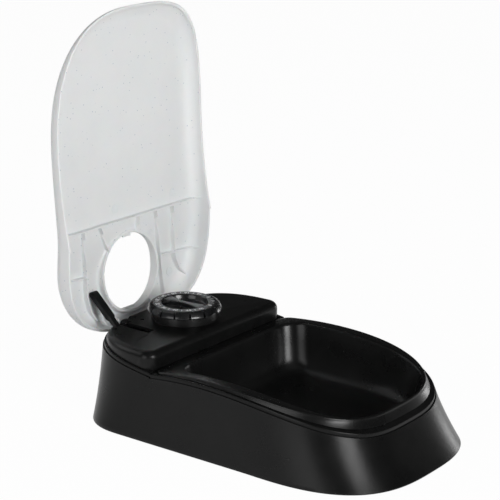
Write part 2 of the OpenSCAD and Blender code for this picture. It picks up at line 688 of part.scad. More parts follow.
module circuit_board() {
    color("#2f6b3c") box([board_low.x, board_low.y, board_z], [board_high.x, board_high.y, board_z + 1.4]);
    top = board_z + 1.4;
    color("#111111") {
        box([-6, board_low.y + 3, top], [3, board_low.y + 9, top + 1.6]);
        box([18, board_low.y + 2.5, top], [22, board_low.y + 6, top + 1.2]);
    }
    color("silver") rod_x(11, board_low.y + 6, top + 1.2, 1.5, 7);
    color("#c8a12c") rod_z(-14, board_low.y + 6.5, top, top + 3.4, 2);
}
board_posts = [[board_low.x + 2.5, board_low.y + 10.6], [board_high.x - 2.5, board_low.y + 10.6],
    [board_low.x + 2.5, board_low.y + 2.5], [board_high.x - 2.5, board_low.y + 2.5]];
case_chamfer = 4;
// The case seen from above, with the corner beside the back wall taken off
module case_outline(inset, low, high) {
    left = case_left + inset;
    right = case_right - inset;
    front = dial_y - case_half_y + inset;
    back = dial_y + case_half_y - inset;
    chamfer = case_chamfer - inset * (2 - sqrt(2));
    slab([[left, front], [right, front], [right, back - chamfer], [right - chamfer, back], [left, back]], low, high);
}
module timer_case_lower() {
    color("#c9c7bf") difference() {
        union() {
            difference() {
                case_outline(0, case_low, case_split);
                case_outline(case_wall, floor_z, case_split + cut);
            }
            rod_z(0, dial_y, floor_z - 0.4, floor_z + 5, spindle_d / 2 + 2);
            rod_z(idler_x, dial_y, floor_z - 0.4, idler_low - gap, idler_pin_r + 1.8);
            rod_z(rotor_x, dial_y, floor_z - 0.4, floor_z + 1.9, rotor_shaft_r + 1.5);
            for (side = [-1, 1]) rod_z(rotor_x + side * (magnet_r + 2.2), dial_y, floor_z - 0.4, stator_low, 1.4);
            for (p = board_posts) rod_z(p.x, p.y, floor_z - 0.4, board_z, 1.6);
        }
        rod_z(0, dial_y, floor_z, floor_z + 6, spindle_d / 2 + fit);
        rod_z(idler_x, dial_y, floor_z, idler_low + 2, idler_pin_r);
        rod_z(rotor_x, dial_y, floor_z, floor_z + 4, rotor_shaft_r + fit);
    }
}
module timer_case_upper() {
    color("#d4d2ca") difference() {
        union() {
            difference() {
                case_outline(0, case_split, case_top);
                case_outline(case_wall, case_split - cut, case_top - case_wall);
            }
            for (p = ear_points) rod_z(p.x, p.y, case_top - 2.4, case_top, ear_r);
            rod_z(idler_x, dial_y, gear_high + 0.4 + gap, case_top - 1, idler_pin_r + 1.8);
            rod_z(rotor_x, dial_y, gear_low + 0.6, case_top - 1, rotor_shaft_r + 1.7);
        }
        rod_z(0, dial_y, case_top - 4, case_top + cut, spindle_d / 2 + fit);
        rod_z(idler_x, dial_y, gear_high, case_top - case_wall - 0.4, idler_pin_r);
        rod_z(rotor_x, dial_y, gear_low, case_top - 3, rotor_shaft_r + fit);
        for (p = ear_points) rod_z(p.x, p.y, case_top - 6, case_top + cut, screw_clear_r);
    }
}
module timer_screws() {
    color("silver") for (p = ear_points)
        translate([p.x, p.y, case_top - 2.4 - screw_head_h]) screw(screw_head_r - 0.1, screw_head_h, 7);
}

// Battery cell and its two contacts
module battery_cell() {
    color("#3c6e8f") {
        rod_x(cell_low_x + cell_body_length / 2, cell_y, cell_z, cell_d / 2, cell_body_length);
        rod_x(cell_tip_x - 0.5, cell_y, cell_z, 2.75, 1);
    }
}
module battery_contact() {
    color("#c7c9cc") box([cell_tip_x, cell_y - 5, cell_z - 6], [cell_tip_x + contact_thick, cell_y + 5, cell_z + 5]);
}
// A wire wound round X: rings of points along a helix, closed at both ends
function coil_rings(radius_at, wire_r, turns, length, sides = 8, per_turn = 14) = [
    for (k = [0:turns * per_turn])
        let (t = k / (turns * per_turn), a = 360 * turns * t, r = radius_at(t))
        [for (i = [0:sides - 1]) let (b = -360 * i / sides, d = r + wire_r * cos(b))
            [length * t + wire_r * sin(b), d * cos(a), d * sin(a)]]];
module coil(radius_at, wire_r, turns, length) {
    rings = coil_rings(radius_at, wire_r, turns, length);
    middle = function (ring) [for (axis = [0:2]) (ring[0][axis] + ring[4][axis]) / 2];
    dish_solid(middle(rings[0]), rings, middle(rings[len(rings) - 1]));
}
module battery_spring() {
    wire_r = 0.4;
    length = cell_low_x - holder_low_x - 2 * wire_r - 2 * seat_gap;
    color("#c7c9cc") translate([holder_low_x + wire_r + seat_gap, cell_y, cell_z])
        coil(function (t) mix(4.6, 2.6, t), wire_r, 4, length);
}

// Lift arm, drawn leaning back with the lid open
bracket_wall = 2.2;
bracket_high = cover_top_z - cover_wall - 1.8;
bracket_thick = 2;
bracket_front_y = arm_pivot_y - 12.5;
bridge_low = bracket_high - 5.2;
arm_hub_r = 3;
cheek_inner = notch_half - 1.2 - bracket_wall;
cheek_outer = cheek_inner + bracket_wall;
cheek_top = cover_top_z - cover_wall - gap;
module arm_bracket() {
    color("#33353a") difference() {
        union() {
            difference() {
                box([-arm_x - 13.6, bracket_front_y, bracket_high - bracket_thick],
                    [-arm_x + 17.4, arm_pivot_y - 4.8, bracket_high]);
                box([-arm_x - cheek_inner, bracket_front_y - cut, bracket_high - 4],
                    [-arm_x + cheek_inner, arm_pivot_y, bracket_high + cut]);
            }
            box([-arm_x - cheek_inner - 1, bracket_front_y, bridge_low],
                [-arm_x + cheek_inner + 1, bracket_front_y + 3, bridge_low + 2.4]);
            for (side = [-1, 1]) side_plate(-arm_x + side * (cheek_inner + bracket_wall / 2), bracket_wall,
                [[bracket_front_y, bracket_high], [bracket_front_y, bridge_low],
                [bracket_front_y + 3, bridge_low], [arm_pivot_y - 4, arm_pivot_z - 3],
                [arm_pivot_y + 1.7, arm_pivot_z - 3], [arm_pivot_y + 1.7, cheek_top], [arm_pivot_y - 4, cheek_top]]);
            for (p = peg_points) rod_z(p.x, p.y, bracket_high - 1, cover_top_z - 0.8, peg_r - fit);
        }
        rod_x(-arm_x, arm_pivot_y, arm_pivot_z, arm_pin_d / 2, 40);
    }
}
module arm_pin() {
    color("silver") rod_x(-arm_x, arm_pivot_y, arm_pivot_z, arm_pin_d / 2, 2 * (cheek_inner + bracket_wall) + 0.6);
}
module lift_arm() {
    neck_end = 11;
    color("#222326") translate([-arm_x, arm_pivot_y, arm_pivot_z]) rotate([arm_rest_angle, 0, 0]) difference() {
        union() {
            rod_x(0, 0, 0, arm_hub_r, arm_width);
            box([-arm_width / 2 + 0.7, 0, -arm_thick / 2 + 0.7], [arm_width / 2 - 0.7, neck_end + cut, arm_thick / 2 - 0.7]);
            box([-arm_width / 2, neck_end, -arm_thick / 2], [arm_width / 2, arm_length, arm_thick / 2]);
            rod_x(0, arm_length, 0, arm_thick / 2, arm_width);
        }
        rod_x(0, 0, 0, arm_pin_d / 2 + fit, arm_width + 2);
        box([-0.9, neck_end + 2.5, arm_thick / 2 - 1], [0.9, arm_length - 2, arm_thick]);
    }
}
module arm_spring() {
    turns = 3;
    side = arm_width / 2 + gap;
    length = cheek_inner - side - 2 * spring_wire_r - gap / 2;
    color("#c98b5a") translate([-arm_x - side - spring_wire_r, arm_pivot_y, arm_pivot_z]) mirror([1, 0, 0])
        coil(function (t) arm_spring_r, spring_wire_r, turns, length);
}

// Lid, drawn closed and then turned open about its hinge
lid_fillet = 10;
lid_width = top_half_width + 0.2;
lid_lap = 1.5;
lid_gap = 0.5;
lid_step_front = 40;
lid_step_rear = 85;
lid_droop_start = 12;
lid_droop = 20.3;
function smooth(t) = t <= 0 ? 0 : t >= 1 ? 1 : t * t * (3 - 2 * t);
function lid_z(y) = y < lid_droop_start
    ? lid_front_z - lid_droop * pow((lid_droop_start - y) / (top_front + lid_droop_start), 2.7)
    : mix(lid_front_z, lid_top_z, smooth((y - lid_step_front) / (lid_step_rear - lid_step_front)));
function lid_edge_z(y) = max(rim_z(y) - lid_lap, base_top_z(y) + lid_gap);
function lid_outline(inset) = top_outline(inset, lid_reach, lid_width);
function lid_outer_z(inset) = function (y) lid_z(y)
    - round_drop(inset, lid_fillet, min(lid_fillet, lid_z(y) - lid_edge_z(y) - 1));
function lid_inner_z(inset) = function (y) lid_z(y) - lid_wall - round_drop(inset, lid_fillet - lid_skirt,
    min(lid_fillet - lid_skirt, lid_z(y) - lid_wall - lid_edge_z(y) - 0.5));
collar_z = 60.2;
collar_wall = 2;
rib_depth = 5;
rib_wall = 1.4;
tab_reach = dial_skirt_r - 0.9;
tab_low = 62;
tab_high = dial_skirt_low - gap - 0.1;
function ring_at(r, n) = [for (i = [0:n - 1]) [r * cos(360 * i / n), dial_y + r * sin(360 * i / n)]];
function rib_low_z(y) = y < cover_front_y - 2 ? lid_z(y) - lid_wall - rib_depth
    : max(lid_z(y) - lid_wall - rib_depth, cover_top_z + 1);
// How far a point under the lid stands in from the lid's side or back
function lid_half_at(y) = let (share = max(0, (y - cover_front_y) / (top_rear - cover_front_y)))
    lid_width * pow(1 - pow(min(share, 1), 3), 1 / 3);
function rib_high_z(p) = lid_outer_z(max(0, lid_half_at(p.y) - abs(p.x)))(p.y) - lid_wall / 2;
// A rib hung under the plate, from point a to point b
module lid_rib(a, b) {
    run = norm(b - a);
    steps = ceil(run / 6);
    along = [for (i = [0:steps]) mix(a, b, i / steps)];
    translate([a.x, a.y, 0]) rotate([0, 0, atan2(b.y - a.y, b.x - a.x)]) rotate([90, 0, 0])
        linear_extrude(rib_wall, center = true) polygon(concat(
            [for (i = [0:steps]) [run * i / steps, rib_high_z(along[i])]],
            [for (i = [steps:-1:0]) [run * i / steps, min(rib_low_z(along[i].y), rib_high_z(along[i]) - 1)]]));
}
// Outline of a hinge lug, seen from the side: from the hinge up into the lid's back
lug_back_y = top_rear - 1;
function lug_z(inset) = lid_outer_z(inset)(lug_back_y - inset) - lid_wall / 2;
lug_outline = concat(
    [[hinge_y - 1, hinge_z - 2], [hinge_y + lug_r - 0.2, hinge_z - 0.6], [lug_back_y - 0.8, hinge_z + 6]],
    [for (inset = [1.2, 3, 5, 8, 10]) [lug_back_y - inset, lug_z(inset)]],
    [[hinge_y - 6, hinge_z + 9]]);
rib_front_y = 43;
lid_rib_lines = [
    [[0.9 - lid_width, rib_front_y], [lid_width - 0.9, rib_front_y]],
    [[-47, rib_front_y], [-43.4, 76]], [[-43.4, 76], [-43, 106]],
    [[27, rib_front_y], [33, 78]], [[33, 78], [35, 106]],
    [[45, rib_front_y], [49, 78]], [[49, 78], [52, 102]],
    [[0.9 - lid_half_at(76), 76], [-43.4, 76]], [[33, 78], [lid_half_at(80) - 0.9, 80]],
    [[-31, rib_front_y], [-21, 63]], [[9, rib_front_y], [8, 54.4]]];
inner_steps = [0, 0.6, 2, 4.4, lid_fillet - lid_skirt];
outer_steps = [0, 0.8, 2.4, 5.4, lid_fillet];
plate_steps = [24, 40, 56];
module lid_closed() {
    middle_y = 25;
    difference() {
        union() {
            dish_solid(
                [0, middle_y, lid_z(middle_y) - lid_wall],
                concat(
                    [for (k = [2:-1:0]) raised(lid_outline(plate_steps[k]), lid_inner_z(plate_steps[k]))],
                    [for (k = [4:-1:0]) raised(lid_outline(lid_skirt + inner_steps[k]), lid_inner_z(inner_steps[k]))],
                    [for (inset = [lid_skirt, 0]) raised(lid_outline(inset), function (y) lid_edge_z(y))],
                    [for (k = [0:4]) raised(lid_outline(outer_steps[k]), lid_outer_z(outer_steps[k]))],
                    [for (k = [0:2]) raised(lid_outline(plate_steps[k]), lid_outer_z(plate_steps[k]))]),
                [0, middle_y, lid_z(middle_y)]);
            ring_solid([
                level(ring_at(lid_hole_r + collar_wall, 48), collar_z),
                raised(ring_at(lid_hole_r + collar_wall, 48), function (y) lid_z(y) - lid_wall / 2),
                raised(ring_at(lid_hole_r - 0.4, 48), function (y) lid_z(y) - lid_wall / 2),
                level(ring_at(lid_hole_r - 0.4, 48), collar_z)]);
            for (line = lid_rib_lines) lid_rib(line[0], line[1]);
            both_sides() side_plate(lug_x, lug_width, lug_outline);
            both_sides() rod_x(lug_x, hinge_y, hinge_z, lug_r, lug_width);
        }
        rod_z(0, dial_y, 50, 80, lid_hole_r);
        both_sides() rod_x(lug_x, hinge_y, hinge_z, hinge_pin_d / 2 + fit, lug_width + 2);
    }
    box([-3.85, dial_y - lid_hole_r - 1, tab_low], [3.85, dial_y - tab_reach, tab_high]);
}
module lid() {
    color("#b3b4b2") translate([0, hinge_y, hinge_z]) rotate([-lid_open_angle, 0, 0])
        translate([0, -hinge_y, -hinge_z]) lid_closed();
}
module hinge_pins() {
    color("silver") both_sides()
        rod_x(lug_x, hinge_y, hinge_z, hinge_pin_d / 2, 2 * (lug_notch + hinge_boss_length) - 2.4);
}

base_shell();
bottom_plate();
battery_door();
rubber_feet();
base_screws();
bowl();
timer_cover();
cover_screws();
dial_knob();
dial_spindle();
timer_case_upper();
timer_case_lower();
timer_screws();
drive_gear();
clutch_washer();
idler_gear();
idler_pin();
motor_rotor();
motor_stator();
motor_coil();
circuit_board();
battery_cell();
battery_spring();
battery_contact();
arm_bracket();
lift_arm();
arm_pin();
arm_spring();
lid();
hinge_pins();
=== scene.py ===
"""Looks of a single-meal automatic pet feeder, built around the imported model.

Lengths are worked out in millimetres and put into the meshes in metres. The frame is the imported
model's: +X right, -Y towards the bowl's front, +Z up, the lid open.
"""

import logging
import math
from collections.abc import Callable, Sequence
from dataclasses import dataclass, field
from enum import Enum

import bmesh
import bpy
import numpy as np
from mathutils import Matrix, Vector

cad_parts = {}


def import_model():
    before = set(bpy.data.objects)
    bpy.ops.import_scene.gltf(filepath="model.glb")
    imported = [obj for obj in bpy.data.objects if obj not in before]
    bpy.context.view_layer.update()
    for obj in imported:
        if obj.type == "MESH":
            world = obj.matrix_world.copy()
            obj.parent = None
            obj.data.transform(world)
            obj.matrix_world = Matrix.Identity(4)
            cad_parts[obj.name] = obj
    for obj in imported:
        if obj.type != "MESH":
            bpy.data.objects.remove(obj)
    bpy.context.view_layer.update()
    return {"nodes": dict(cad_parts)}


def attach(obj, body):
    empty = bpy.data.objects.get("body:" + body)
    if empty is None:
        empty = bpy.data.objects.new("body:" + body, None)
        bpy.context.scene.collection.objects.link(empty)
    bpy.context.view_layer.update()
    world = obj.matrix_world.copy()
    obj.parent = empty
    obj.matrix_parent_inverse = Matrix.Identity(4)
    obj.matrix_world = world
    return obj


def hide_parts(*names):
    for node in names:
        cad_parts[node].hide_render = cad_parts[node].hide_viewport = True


LOG = logging.getLogger("pet_feeder")
MM = 0.001
SIDES = (-1, 1)
Height = Callable[[np.ndarray], np.ndarray]
Colour = tuple[float, float, float]


# --------------------------------------------------------------------------- shape laws


def signed_power(values: np.ndarray, power: float) -> np.ndarray:
    """Raises the size of each value to a power and keeps its sign."""
    return np.sign(values) * np.abs(values) ** power


def mix(a: np.ndarray | float, b: np.ndarray | float, share: np.ndarray | float) -> np.ndarray:
    """Goes from a at share 0 to b at share 1 in a straight line."""
    return a + (b - a) * share


def smooth_step(share: np.ndarray) -> np.ndarray:
    """Eases from 0 to 1: three times the share squared less twice its cube."""
    share = np.clip(share, 0.0, 1.0)
    return share * share * (3.0 - 2.0 * share)


def superellipse_arc(
    centre_y: float, half: float, reach: float, power: float, start: float, end: float, count: int
) -> np.ndarray:
    """Part of a superellipse: x is half times cosine, y reach times sine, each to the power 2/n.

    Args:
        centre_y: Middle of the curve along Y.
        half: Half width along X.
        reach: Half length along Y.
        power: Squareness n; 2 is an ellipse.
        start: First angle in degrees.
        end: Last angle in degrees.
        count: Number of points.

    Returns:
        Points as an array of count rows of x and y.
    """
    turn = np.radians(np.linspace(start, end, count))
    x = half * signed_power(np.cos(turn), 2.0 / power)
    y = centre_y + reach * signed_power(np.sin(turn), 2.0 / power)
    return np.stack([x, y], axis=1)


def straight(a: Sequence[float], b: Sequence[float], count: int) -> np.ndarray:
    """Count points strictly between a and b, evenly spaced."""
    share = np.arange(1, count + 1)[:, None] / (count + 1)
    return mix(np.asarray(a, float), np.asarray(b, float), share)


def stepped(line: np.ndarray, step: float, least: int) -> np.ndarray:
    """Points along an open line with its corners eased: a quarter, a half and a quarter of three points.

    Args:
        line: The line's corners.
        step: Rough distance between points.
        least: Fewest points on each stretch.

    Returns:
        Points from the line's first corner to its last.
    """
    path = line[:1]
    for a, b in zip(line[:-1], line[1:]):
        count = max(int(np.linalg.norm(b - a) / step), least)
        path = np.vstack([path, mix(a, b, np.linspace(0, 1, count)[:, None])[1:]])
    return np.vstack([path[:1], (path[:-2] + 2 * path[1:-1] + path[2:]) / 4, path[-1:]])


def chaikin(line: np.ndarray, times: int) -> np.ndarray:
    """Smooths an open line by cutting each corner at a quarter and three quarters of its stretches.

    Args:
        line: The line's corners.
        times: How often all the corners are cut.

    Returns:
        The smoothed line, with the same two ends.
    """
    for _ in range(times):
        quarter = line[:-1] * 0.75 + line[1:] * 0.25
        three = line[:-1] * 0.25 + line[1:] * 0.75
        inner = np.stack([quarter, three], axis=1).reshape(-1, line.shape[1])
        line = np.vstack([line[:1], inner, line[-1:]])
    return line


def round_drop(
    inset: np.ndarray | float, radius: np.ndarray | float, height: np.ndarray | float
) -> np.ndarray:
    """How far a rounded edge lies below its flat: a quarter ellipse of that radius and height."""
    share = np.clip(1.0 - np.asarray(inset, float) / radius, 0.0, 1.0)
    return height * (1.0 - np.sqrt(1.0 - share**2))


def lifted(plan: np.ndarray, height: Height | np.ndarray | float) -> np.ndarray:
    """Raises a flat outline to a height: a number, one for each point, or a law of y."""
    z = height(plan[:, 1]) if callable(height) else height
    return np.column_stack([plan, np.broadcast_to(z, len(plan))])


def circle(radius: np.ndarray | float, turn: np.ndarray, centre: Sequence[float]) -> np.ndarray:
    """Points at angles round a centre: x is radius times cosine, y radius times sine."""
    return np.column_stack([centre[0] + radius * np.cos(turn), centre[1] + radius * np.sin(turn)])


def round_angles(count: int) -> np.ndarray:
    """Evenly spaced angles of one full turn, in radians."""
    return np.arange(count) * 2.0 * np.pi / count


def turn_about_x(degrees: float) -> np.ndarray:
    """Matrix of a right-handed turn about the X axis."""
    cos, sin = math.cos(math.radians(degrees)), math.sin(math.radians(degrees))
    return np.array([[1, 0, 0], [0, cos, -sin], [0, sin, cos]])


@dataclass(frozen=True)
class FeederShape:
    """Sizes in millimetres that more than one piece shares, and the laws built on them."""

    base_length: float = 240.0
    base_width: float = 160.0
    foot_width_front: float = 153.0
    foot_front_y: float = -30.0
    foot_rear_y: float = 75.0
    foot_powers: tuple[float, float] = (2.9, 2.6)
    top_half: float = 73.2
    top_front: float = 101.0
    top_rear: float = 118.0
    top_powers: tuple[float, float] = (3.1, 3.0)
    flange_inset: float = 7.8
    flange_power: float = 3.6
    flange_bow: float = 0.8
    seat_height: float = 48.6
    seat_radius: float = 310.0
    seat_apex_y: float = 5.0
    ledge_slope: float = 0.115
    ledge_step: float = 0.8
    rim_height: float = 51.0
    rim_radius: float = 333.0
    rim_apex_y: float = -3.0
    cover_front_y: float = 51.0
    cover_top: float = 58.2
    panel_set: float = 0.5
    dial_y: float = 81.5
    dial_top: float = 69.4
    hinge_y: float = 115.5
    hinge_z: float = 48.5
    lug_x: float = 24.0
    lug_notch: float = 3.6
    arm_x: float = -37.0
    arm_y: float = 108.0
    arm_slot_half: float = 3.6
    cut_foot: float = 40.0
    cut_top: float = 70.0
    cut_rear: float = 124.0
    open_angle: float = 94.5
    arc_count: int = 110
    side_count: int = 34

    @property
    def panel_y(self) -> float:
        """Front of the upright panel between the bowl and the timer."""
        return self.cover_front_y - self.panel_set

    def seat_z(self, y: np.ndarray) -> np.ndarray:
        """Arch of the bowl's seat: its top less the square of the distance over twice the radius."""
        return self.seat_height - (y - self.seat_apex_y) ** 2 / (2.0 * self.seat_radius)

    def rim_z(self, y: np.ndarray) -> np.ndarray:
        """Arch of the bowl's rim, of the same form as the seat's."""
        return self.rim_height - (y - self.rim_apex_y) ** 2 / (2.0 * self.rim_radius)

    def ledge_z(self, y: np.ndarray) -> np.ndarray:
        """Slope of the ledge round the timer cover, rising towards the back."""
        start = self.seat_z(np.asarray(self.cover_front_y)) + self.ledge_step
        return start + self.ledge_slope * (y - self.cover_front_y)

    def base_top_z(self, y: np.ndarray) -> np.ndarray:
        """Top edge of the base: the seat in front of the panel, the ledge behind it."""
        return np.where(y < self.panel_y, self.seat_z(y), self.ledge_z(y))

    def loop(self, front: Sequence[float], rear: Sequence[float], side_to: float) -> np.ndarray:
        """A closed outline of two superellipses joined by straight sides.

        Args:
            front: Centre y, half width, reach and power of the front curve.
            rear: The same four of the rear curve.
            side_to: The y at which the straight sides end.

        Returns:
            Points as rows of x and y, anticlockwise seen from above.
        """
        right = np.vstack([
            straight((front[1], front[0]), (rear[1], side_to), self.side_count),
            [[rear[1], side_to - 0.05], [rear[1], side_to + 0.05]],
        ])
        left = right[::-1] * np.array([-1.0, 1.0])
        return np.concatenate([
            superellipse_arc(*front, 180.0, 360.0, self.arc_count), right,
            superellipse_arc(*rear, 0.0, 180.0, self.arc_count), left,
        ])

    def foot_loop(self, inset: float = 0.0) -> np.ndarray:
        """Outline of the base's foot.

        Args:
            inset: How far it is drawn in.

        Returns:
            Points as rows of x and y.
        """
        front_reach = self.base_length / 2 + self.foot_front_y - inset
        rear_reach = self.base_length / 2 - self.foot_rear_y - inset
        front = (self.foot_front_y, self.foot_width_front / 2 - inset, front_reach, self.foot_powers[0])
        rear = (self.foot_rear_y, self.base_width / 2 - inset, rear_reach, self.foot_powers[1])
        return self.loop(front, rear, self.foot_rear_y - 0.6)

    def crown_loop(self, half: float, reach: float, power: float, inset: float) -> np.ndarray:
        """An outline about the bowl and the timer, with the front curve's squareness free.

        Args:
            half: Half width, already drawn in.
            reach: How far the front curve goes before the middle, already drawn in.
            power: Squareness of the front curve.
            inset: How far the rear curve is drawn in.

        Returns:
            Points as rows of x and y.
        """
        rear = (self.cover_front_y, half, self.top_rear - self.cover_front_y - inset, self.top_powers[1])
        return self.loop((0.0, half, reach, power), rear, self.panel_y)

    def top_loop(
        self, inset: float = 0.0, front: float | None = None, half: float | None = None
    ) -> np.ndarray:
        """Outline of the base's top edge, or of the lid.

        Args:
            inset: How far it is drawn in.
            front: Reach of the front curve; the base's own without it.
            half: Half width; the base's own without it.

        Returns:
            Points as rows of x and y.
        """
        half = (self.top_half if half is None else half) - inset
        reach = (self.top_front if front is None else front) - inset
        return self.crown_loop(half, reach, self.top_powers[0], inset)

    def flange_loop(self) -> np.ndarray:
        """Inner edge of the seat flange, squarer at the front than the base's top edge."""
        reach = self.top_front - self.flange_inset + self.flange_bow
        return self.crown_loop(self.top_half - self.flange_inset, reach, self.flange_power, self.flange_inset)


# --------------------------------------------------------------------------- meshes


def grid_faces(rows: int, columns: int, close_rows: bool) -> np.ndarray:
    """Quads of a grid that is closed along its columns: two points of a ring and two of the next.

    Args:
        rows: Number of rings.
        columns: Points in each ring.
        close_rows: Joins the last ring to the first.

    Returns:
        Rows of four point numbers.
    """
    last = rows if close_rows else rows - 1
    row, column = np.meshgrid(np.arange(last), np.arange(columns), indexing="ij")
    below = row * columns
    above = ((row + 1) % rows) * columns
    after = (column + 1) % columns
    quads = np.stack([below + column, below + after, above + after, above + column], axis=-1)
    return quads.reshape(-1, 4)


@dataclass
class Surface:
    """Points and faces of a piece under construction, in millimetres."""

    points: list[np.ndarray] = field(default_factory=list)
    faces: list[tuple[int, ...]] = field(default_factory=list)
    count: int = 0

    def add(self, points: np.ndarray, faces: Sequence[Sequence[int]]) -> "Surface":
        """Adds points and the faces that join them.

        Args:
            points: Rows of x, y and z.
            faces: Point numbers of each face, counted from the first of these points.

        Returns:
            This surface.
        """
        self.faces.extend(tuple(int(i) + self.count for i in face) for face in faces)
        self.points.append(np.asarray(points, float))
        self.count += len(points)
        return self

    def add_rings(self, rings: Sequence[np.ndarray], close: bool = False) -> "Surface":
        """Adds a skin through closed rings of equally many points, with a fan over each end.

        Args:
            rings: One array of points for each ring, in order.
            close: Joins the last ring to the first, as on a tube bent into a loop, with no fans.

        Returns:
            This surface.
        """
        stack = np.stack(rings)
        rows, columns = stack.shape[:2]
        faces = grid_faces(rows, columns, close).tolist()
        points = stack.reshape(-1, 3)
        if not close:
            points = np.vstack([points, stack[0].mean(0), stack[-1].mean(0)])
            base, low, high = (rows - 1) * columns, rows * columns, rows * columns + 1
            after = [(i + 1) % columns for i in range(columns)]
            faces += [(low, after[i], i) for i in range(columns)]
            faces += [(high, base + i, base + after[i]) for i in range(columns)]
        return self.add(points, faces)

    def turned(self, matrix: np.ndarray, centre: Sequence[float]) -> "Surface":
        """Turns all the points about a centre.

        Args:
            matrix: The turn, 3 by 3.
            centre: The point that stays.

        Returns:
            This surface.
        """
        centre = np.asarray(centre, float)
        self.points = [(p - centre) @ matrix.T + centre for p in self.points]
        return self

    def moved(self, offset: Sequence[float]) -> "Surface":
        """Moves all the points by an offset."""
        self.points = [p + np.asarray(offset, float) for p in self.points]
        return self

    def build(self, name: str, sharp: float = 32.0) -> bpy.types.Object:
        """Makes the mesh object, in metres, smooth but for edges sharper than an angle.

        Args:
            name: Name of the piece.
            sharp: Angle in degrees above which an edge stays sharp.

        Returns:
            The new object, at the origin.
        """
        mesh = bpy.data.meshes.new(name)
        points = np.concatenate(self.points) * MM
        mesh.from_pydata(points.tolist(), [], self.faces)
        mesh.update()
        finish_shading(mesh, sharp)
        piece = bpy.data.objects.new(name, mesh)
        bpy.context.scene.collection.objects.link(piece)
        return piece


def finish_shading(mesh: bpy.types.Mesh, sharp: float) -> None:
    """Shades a mesh smooth and marks its sharper edges.

    Args:
        mesh: The mesh.
        sharp: Angle in degrees above which an edge stays sharp.
    """
    mesh.polygons.foreach_set("use_smooth", np.ones(len(mesh.polygons), bool))
    mesh.set_sharp_from_angle(angle=math.radians(sharp))
    mesh.update()


def lathe(
    profile: Sequence[Sequence[float]], centre: Sequence[float], count: int = 180
) -> list[np.ndarray]:
    """Rings of a turned shape: each profile point's radius carried round a vertical axis.

    Args:
        profile: Radius and height of each ring, in order.
        centre: The axis's x and y.
        count: Points round each ring.

    Returns:
        One array of points for each profile point.
    """
    turn = round_angles(count)
    return [lifted(circle(radius, turn, centre), z) for radius, z in profile]


def rounded(points: Sequence[Sequence[float]], radii: Sequence[float], steps: int) -> np.ndarray:
    """Replaces the inner corners of an open line in a plane by arcs.

    Each arc is a quadratic curve between the two points that lie its radius away from the corner.

    Args:
        points: The line's corners.
        radii: Rounding of each inner corner, so two fewer than the points; 0 leaves it sharp.
        steps: Pieces in each arc.

    Returns:
        The rounded line's points.
    """
    line = np.asarray(points, float)
    out = [line[0]]
    for before, corner, after, radius in zip(line[:-2], line[1:-1], line[2:], radii, strict=True):
        if radius <= 0:
            out.append(corner)
            continue
        a = corner + (before - corner) * min(radius / np.linalg.norm(before - corner), 0.5)
        b = corner + (after - corner) * min(radius / np.linalg.norm(after - corner), 0.5)
        t = np.linspace(0.0, 1.0, steps + 1)[:, None]
        out.extend((1 - t) ** 2 * a + 2 * t * (1 - t) * corner + t**2 * b)
    out.append(line[-1])
    return np.array(out)


def block(low: Sequence[float], high: Sequence[float], soften: float) -> list[np.ndarray]:
    """Rings of a box whose upright edges and rims are softened.

    Args:
        low: Lowest corner.
        high: Highest corner.
        soften: Radius of the softening.

    Returns:
        Rings from the bottom to the top.
    """
    low, high = np.asarray(low, float), np.asarray(high, float)
    middle, half = (low[:2] + high[:2]) / 2, (high[:2] - low[:2]) / 2
    turn = np.radians(np.arange(0, 360, 15) + 7.5)
    direction = np.stack([np.cos(turn), np.sin(turn)], axis=1)
    knee = soften * 0.3
    levels = [(soften, low[2]), (knee, low[2] + knee), (0.0, low[2] + soften),
              (0.0, high[2] - soften), (knee, high[2] - knee), (soften, high[2])]
    rings = []
    for inset, z in levels:
        plan = middle + np.sign(direction) * (half - soften) + direction * max(soften - inset, 0.001)
        rings.append(lifted(plan, z))
    return rings


def prism_x(outline: Sequence[Sequence[float]], low: float, high: float) -> list[np.ndarray]:
    """Rings of a plate across X: an outline in y and z, anticlockwise seen from +X, at two places."""
    plan = np.asarray(outline, float)
    return [np.column_stack([np.full(len(plan), x), plan]) for x in (low, high)]


def rod_x(centre: Sequence[float], radius: float, length: float, count: int = 40) -> list[np.ndarray]:
    """Rings of a rod along X with slightly rounded ends: y is radius times cosine, z times sine.

    Args:
        centre: The rod's middle.
        radius: Its radius.
        length: Its length.
        count: Points round each ring.

    Returns:
        Rings from the left end to the right.
    """
    soft, end = min(0.3, radius * 0.3), length / 2
    steps = ((-end, radius - soft), (-end + soft, radius), (end - soft, radius), (end, radius - soft))
    turn, x = round_angles(count), np.full(count, centre[0])
    return [np.column_stack([x + along, circle(r, turn, centre[1:])]) for along, r in steps]


def carve(piece: bpy.types.Object, tools: Sequence[bpy.types.Object], sharp: float = 32.0) -> None:
    """Cuts tool shapes out of a piece for good and removes the tools.

    Args:
        piece: The object that is cut.
        tools: Closed meshes that overlap it.
        sharp: Angle for the shading of the result, in degrees.
    """
    for tool in tools:
        cutter = piece.modifiers.new("cut", "BOOLEAN")
        cutter.operation = "DIFFERENCE"
        cutter.solver = "EXACT"
        cutter.object = tool
    bpy.context.view_layer.update()
    graph = bpy.context.evaluated_depsgraph_get()
    made = bpy.data.meshes.new_from_object(piece.evaluated_get(graph))
    piece.modifiers.clear()
    old = piece.data
    made.name = old.name + "_cut"
    piece.data = made
    bpy.data.meshes.remove(old)
    finish_shading(made, sharp)
    for tool in tools:
        bpy.data.objects.remove(tool)


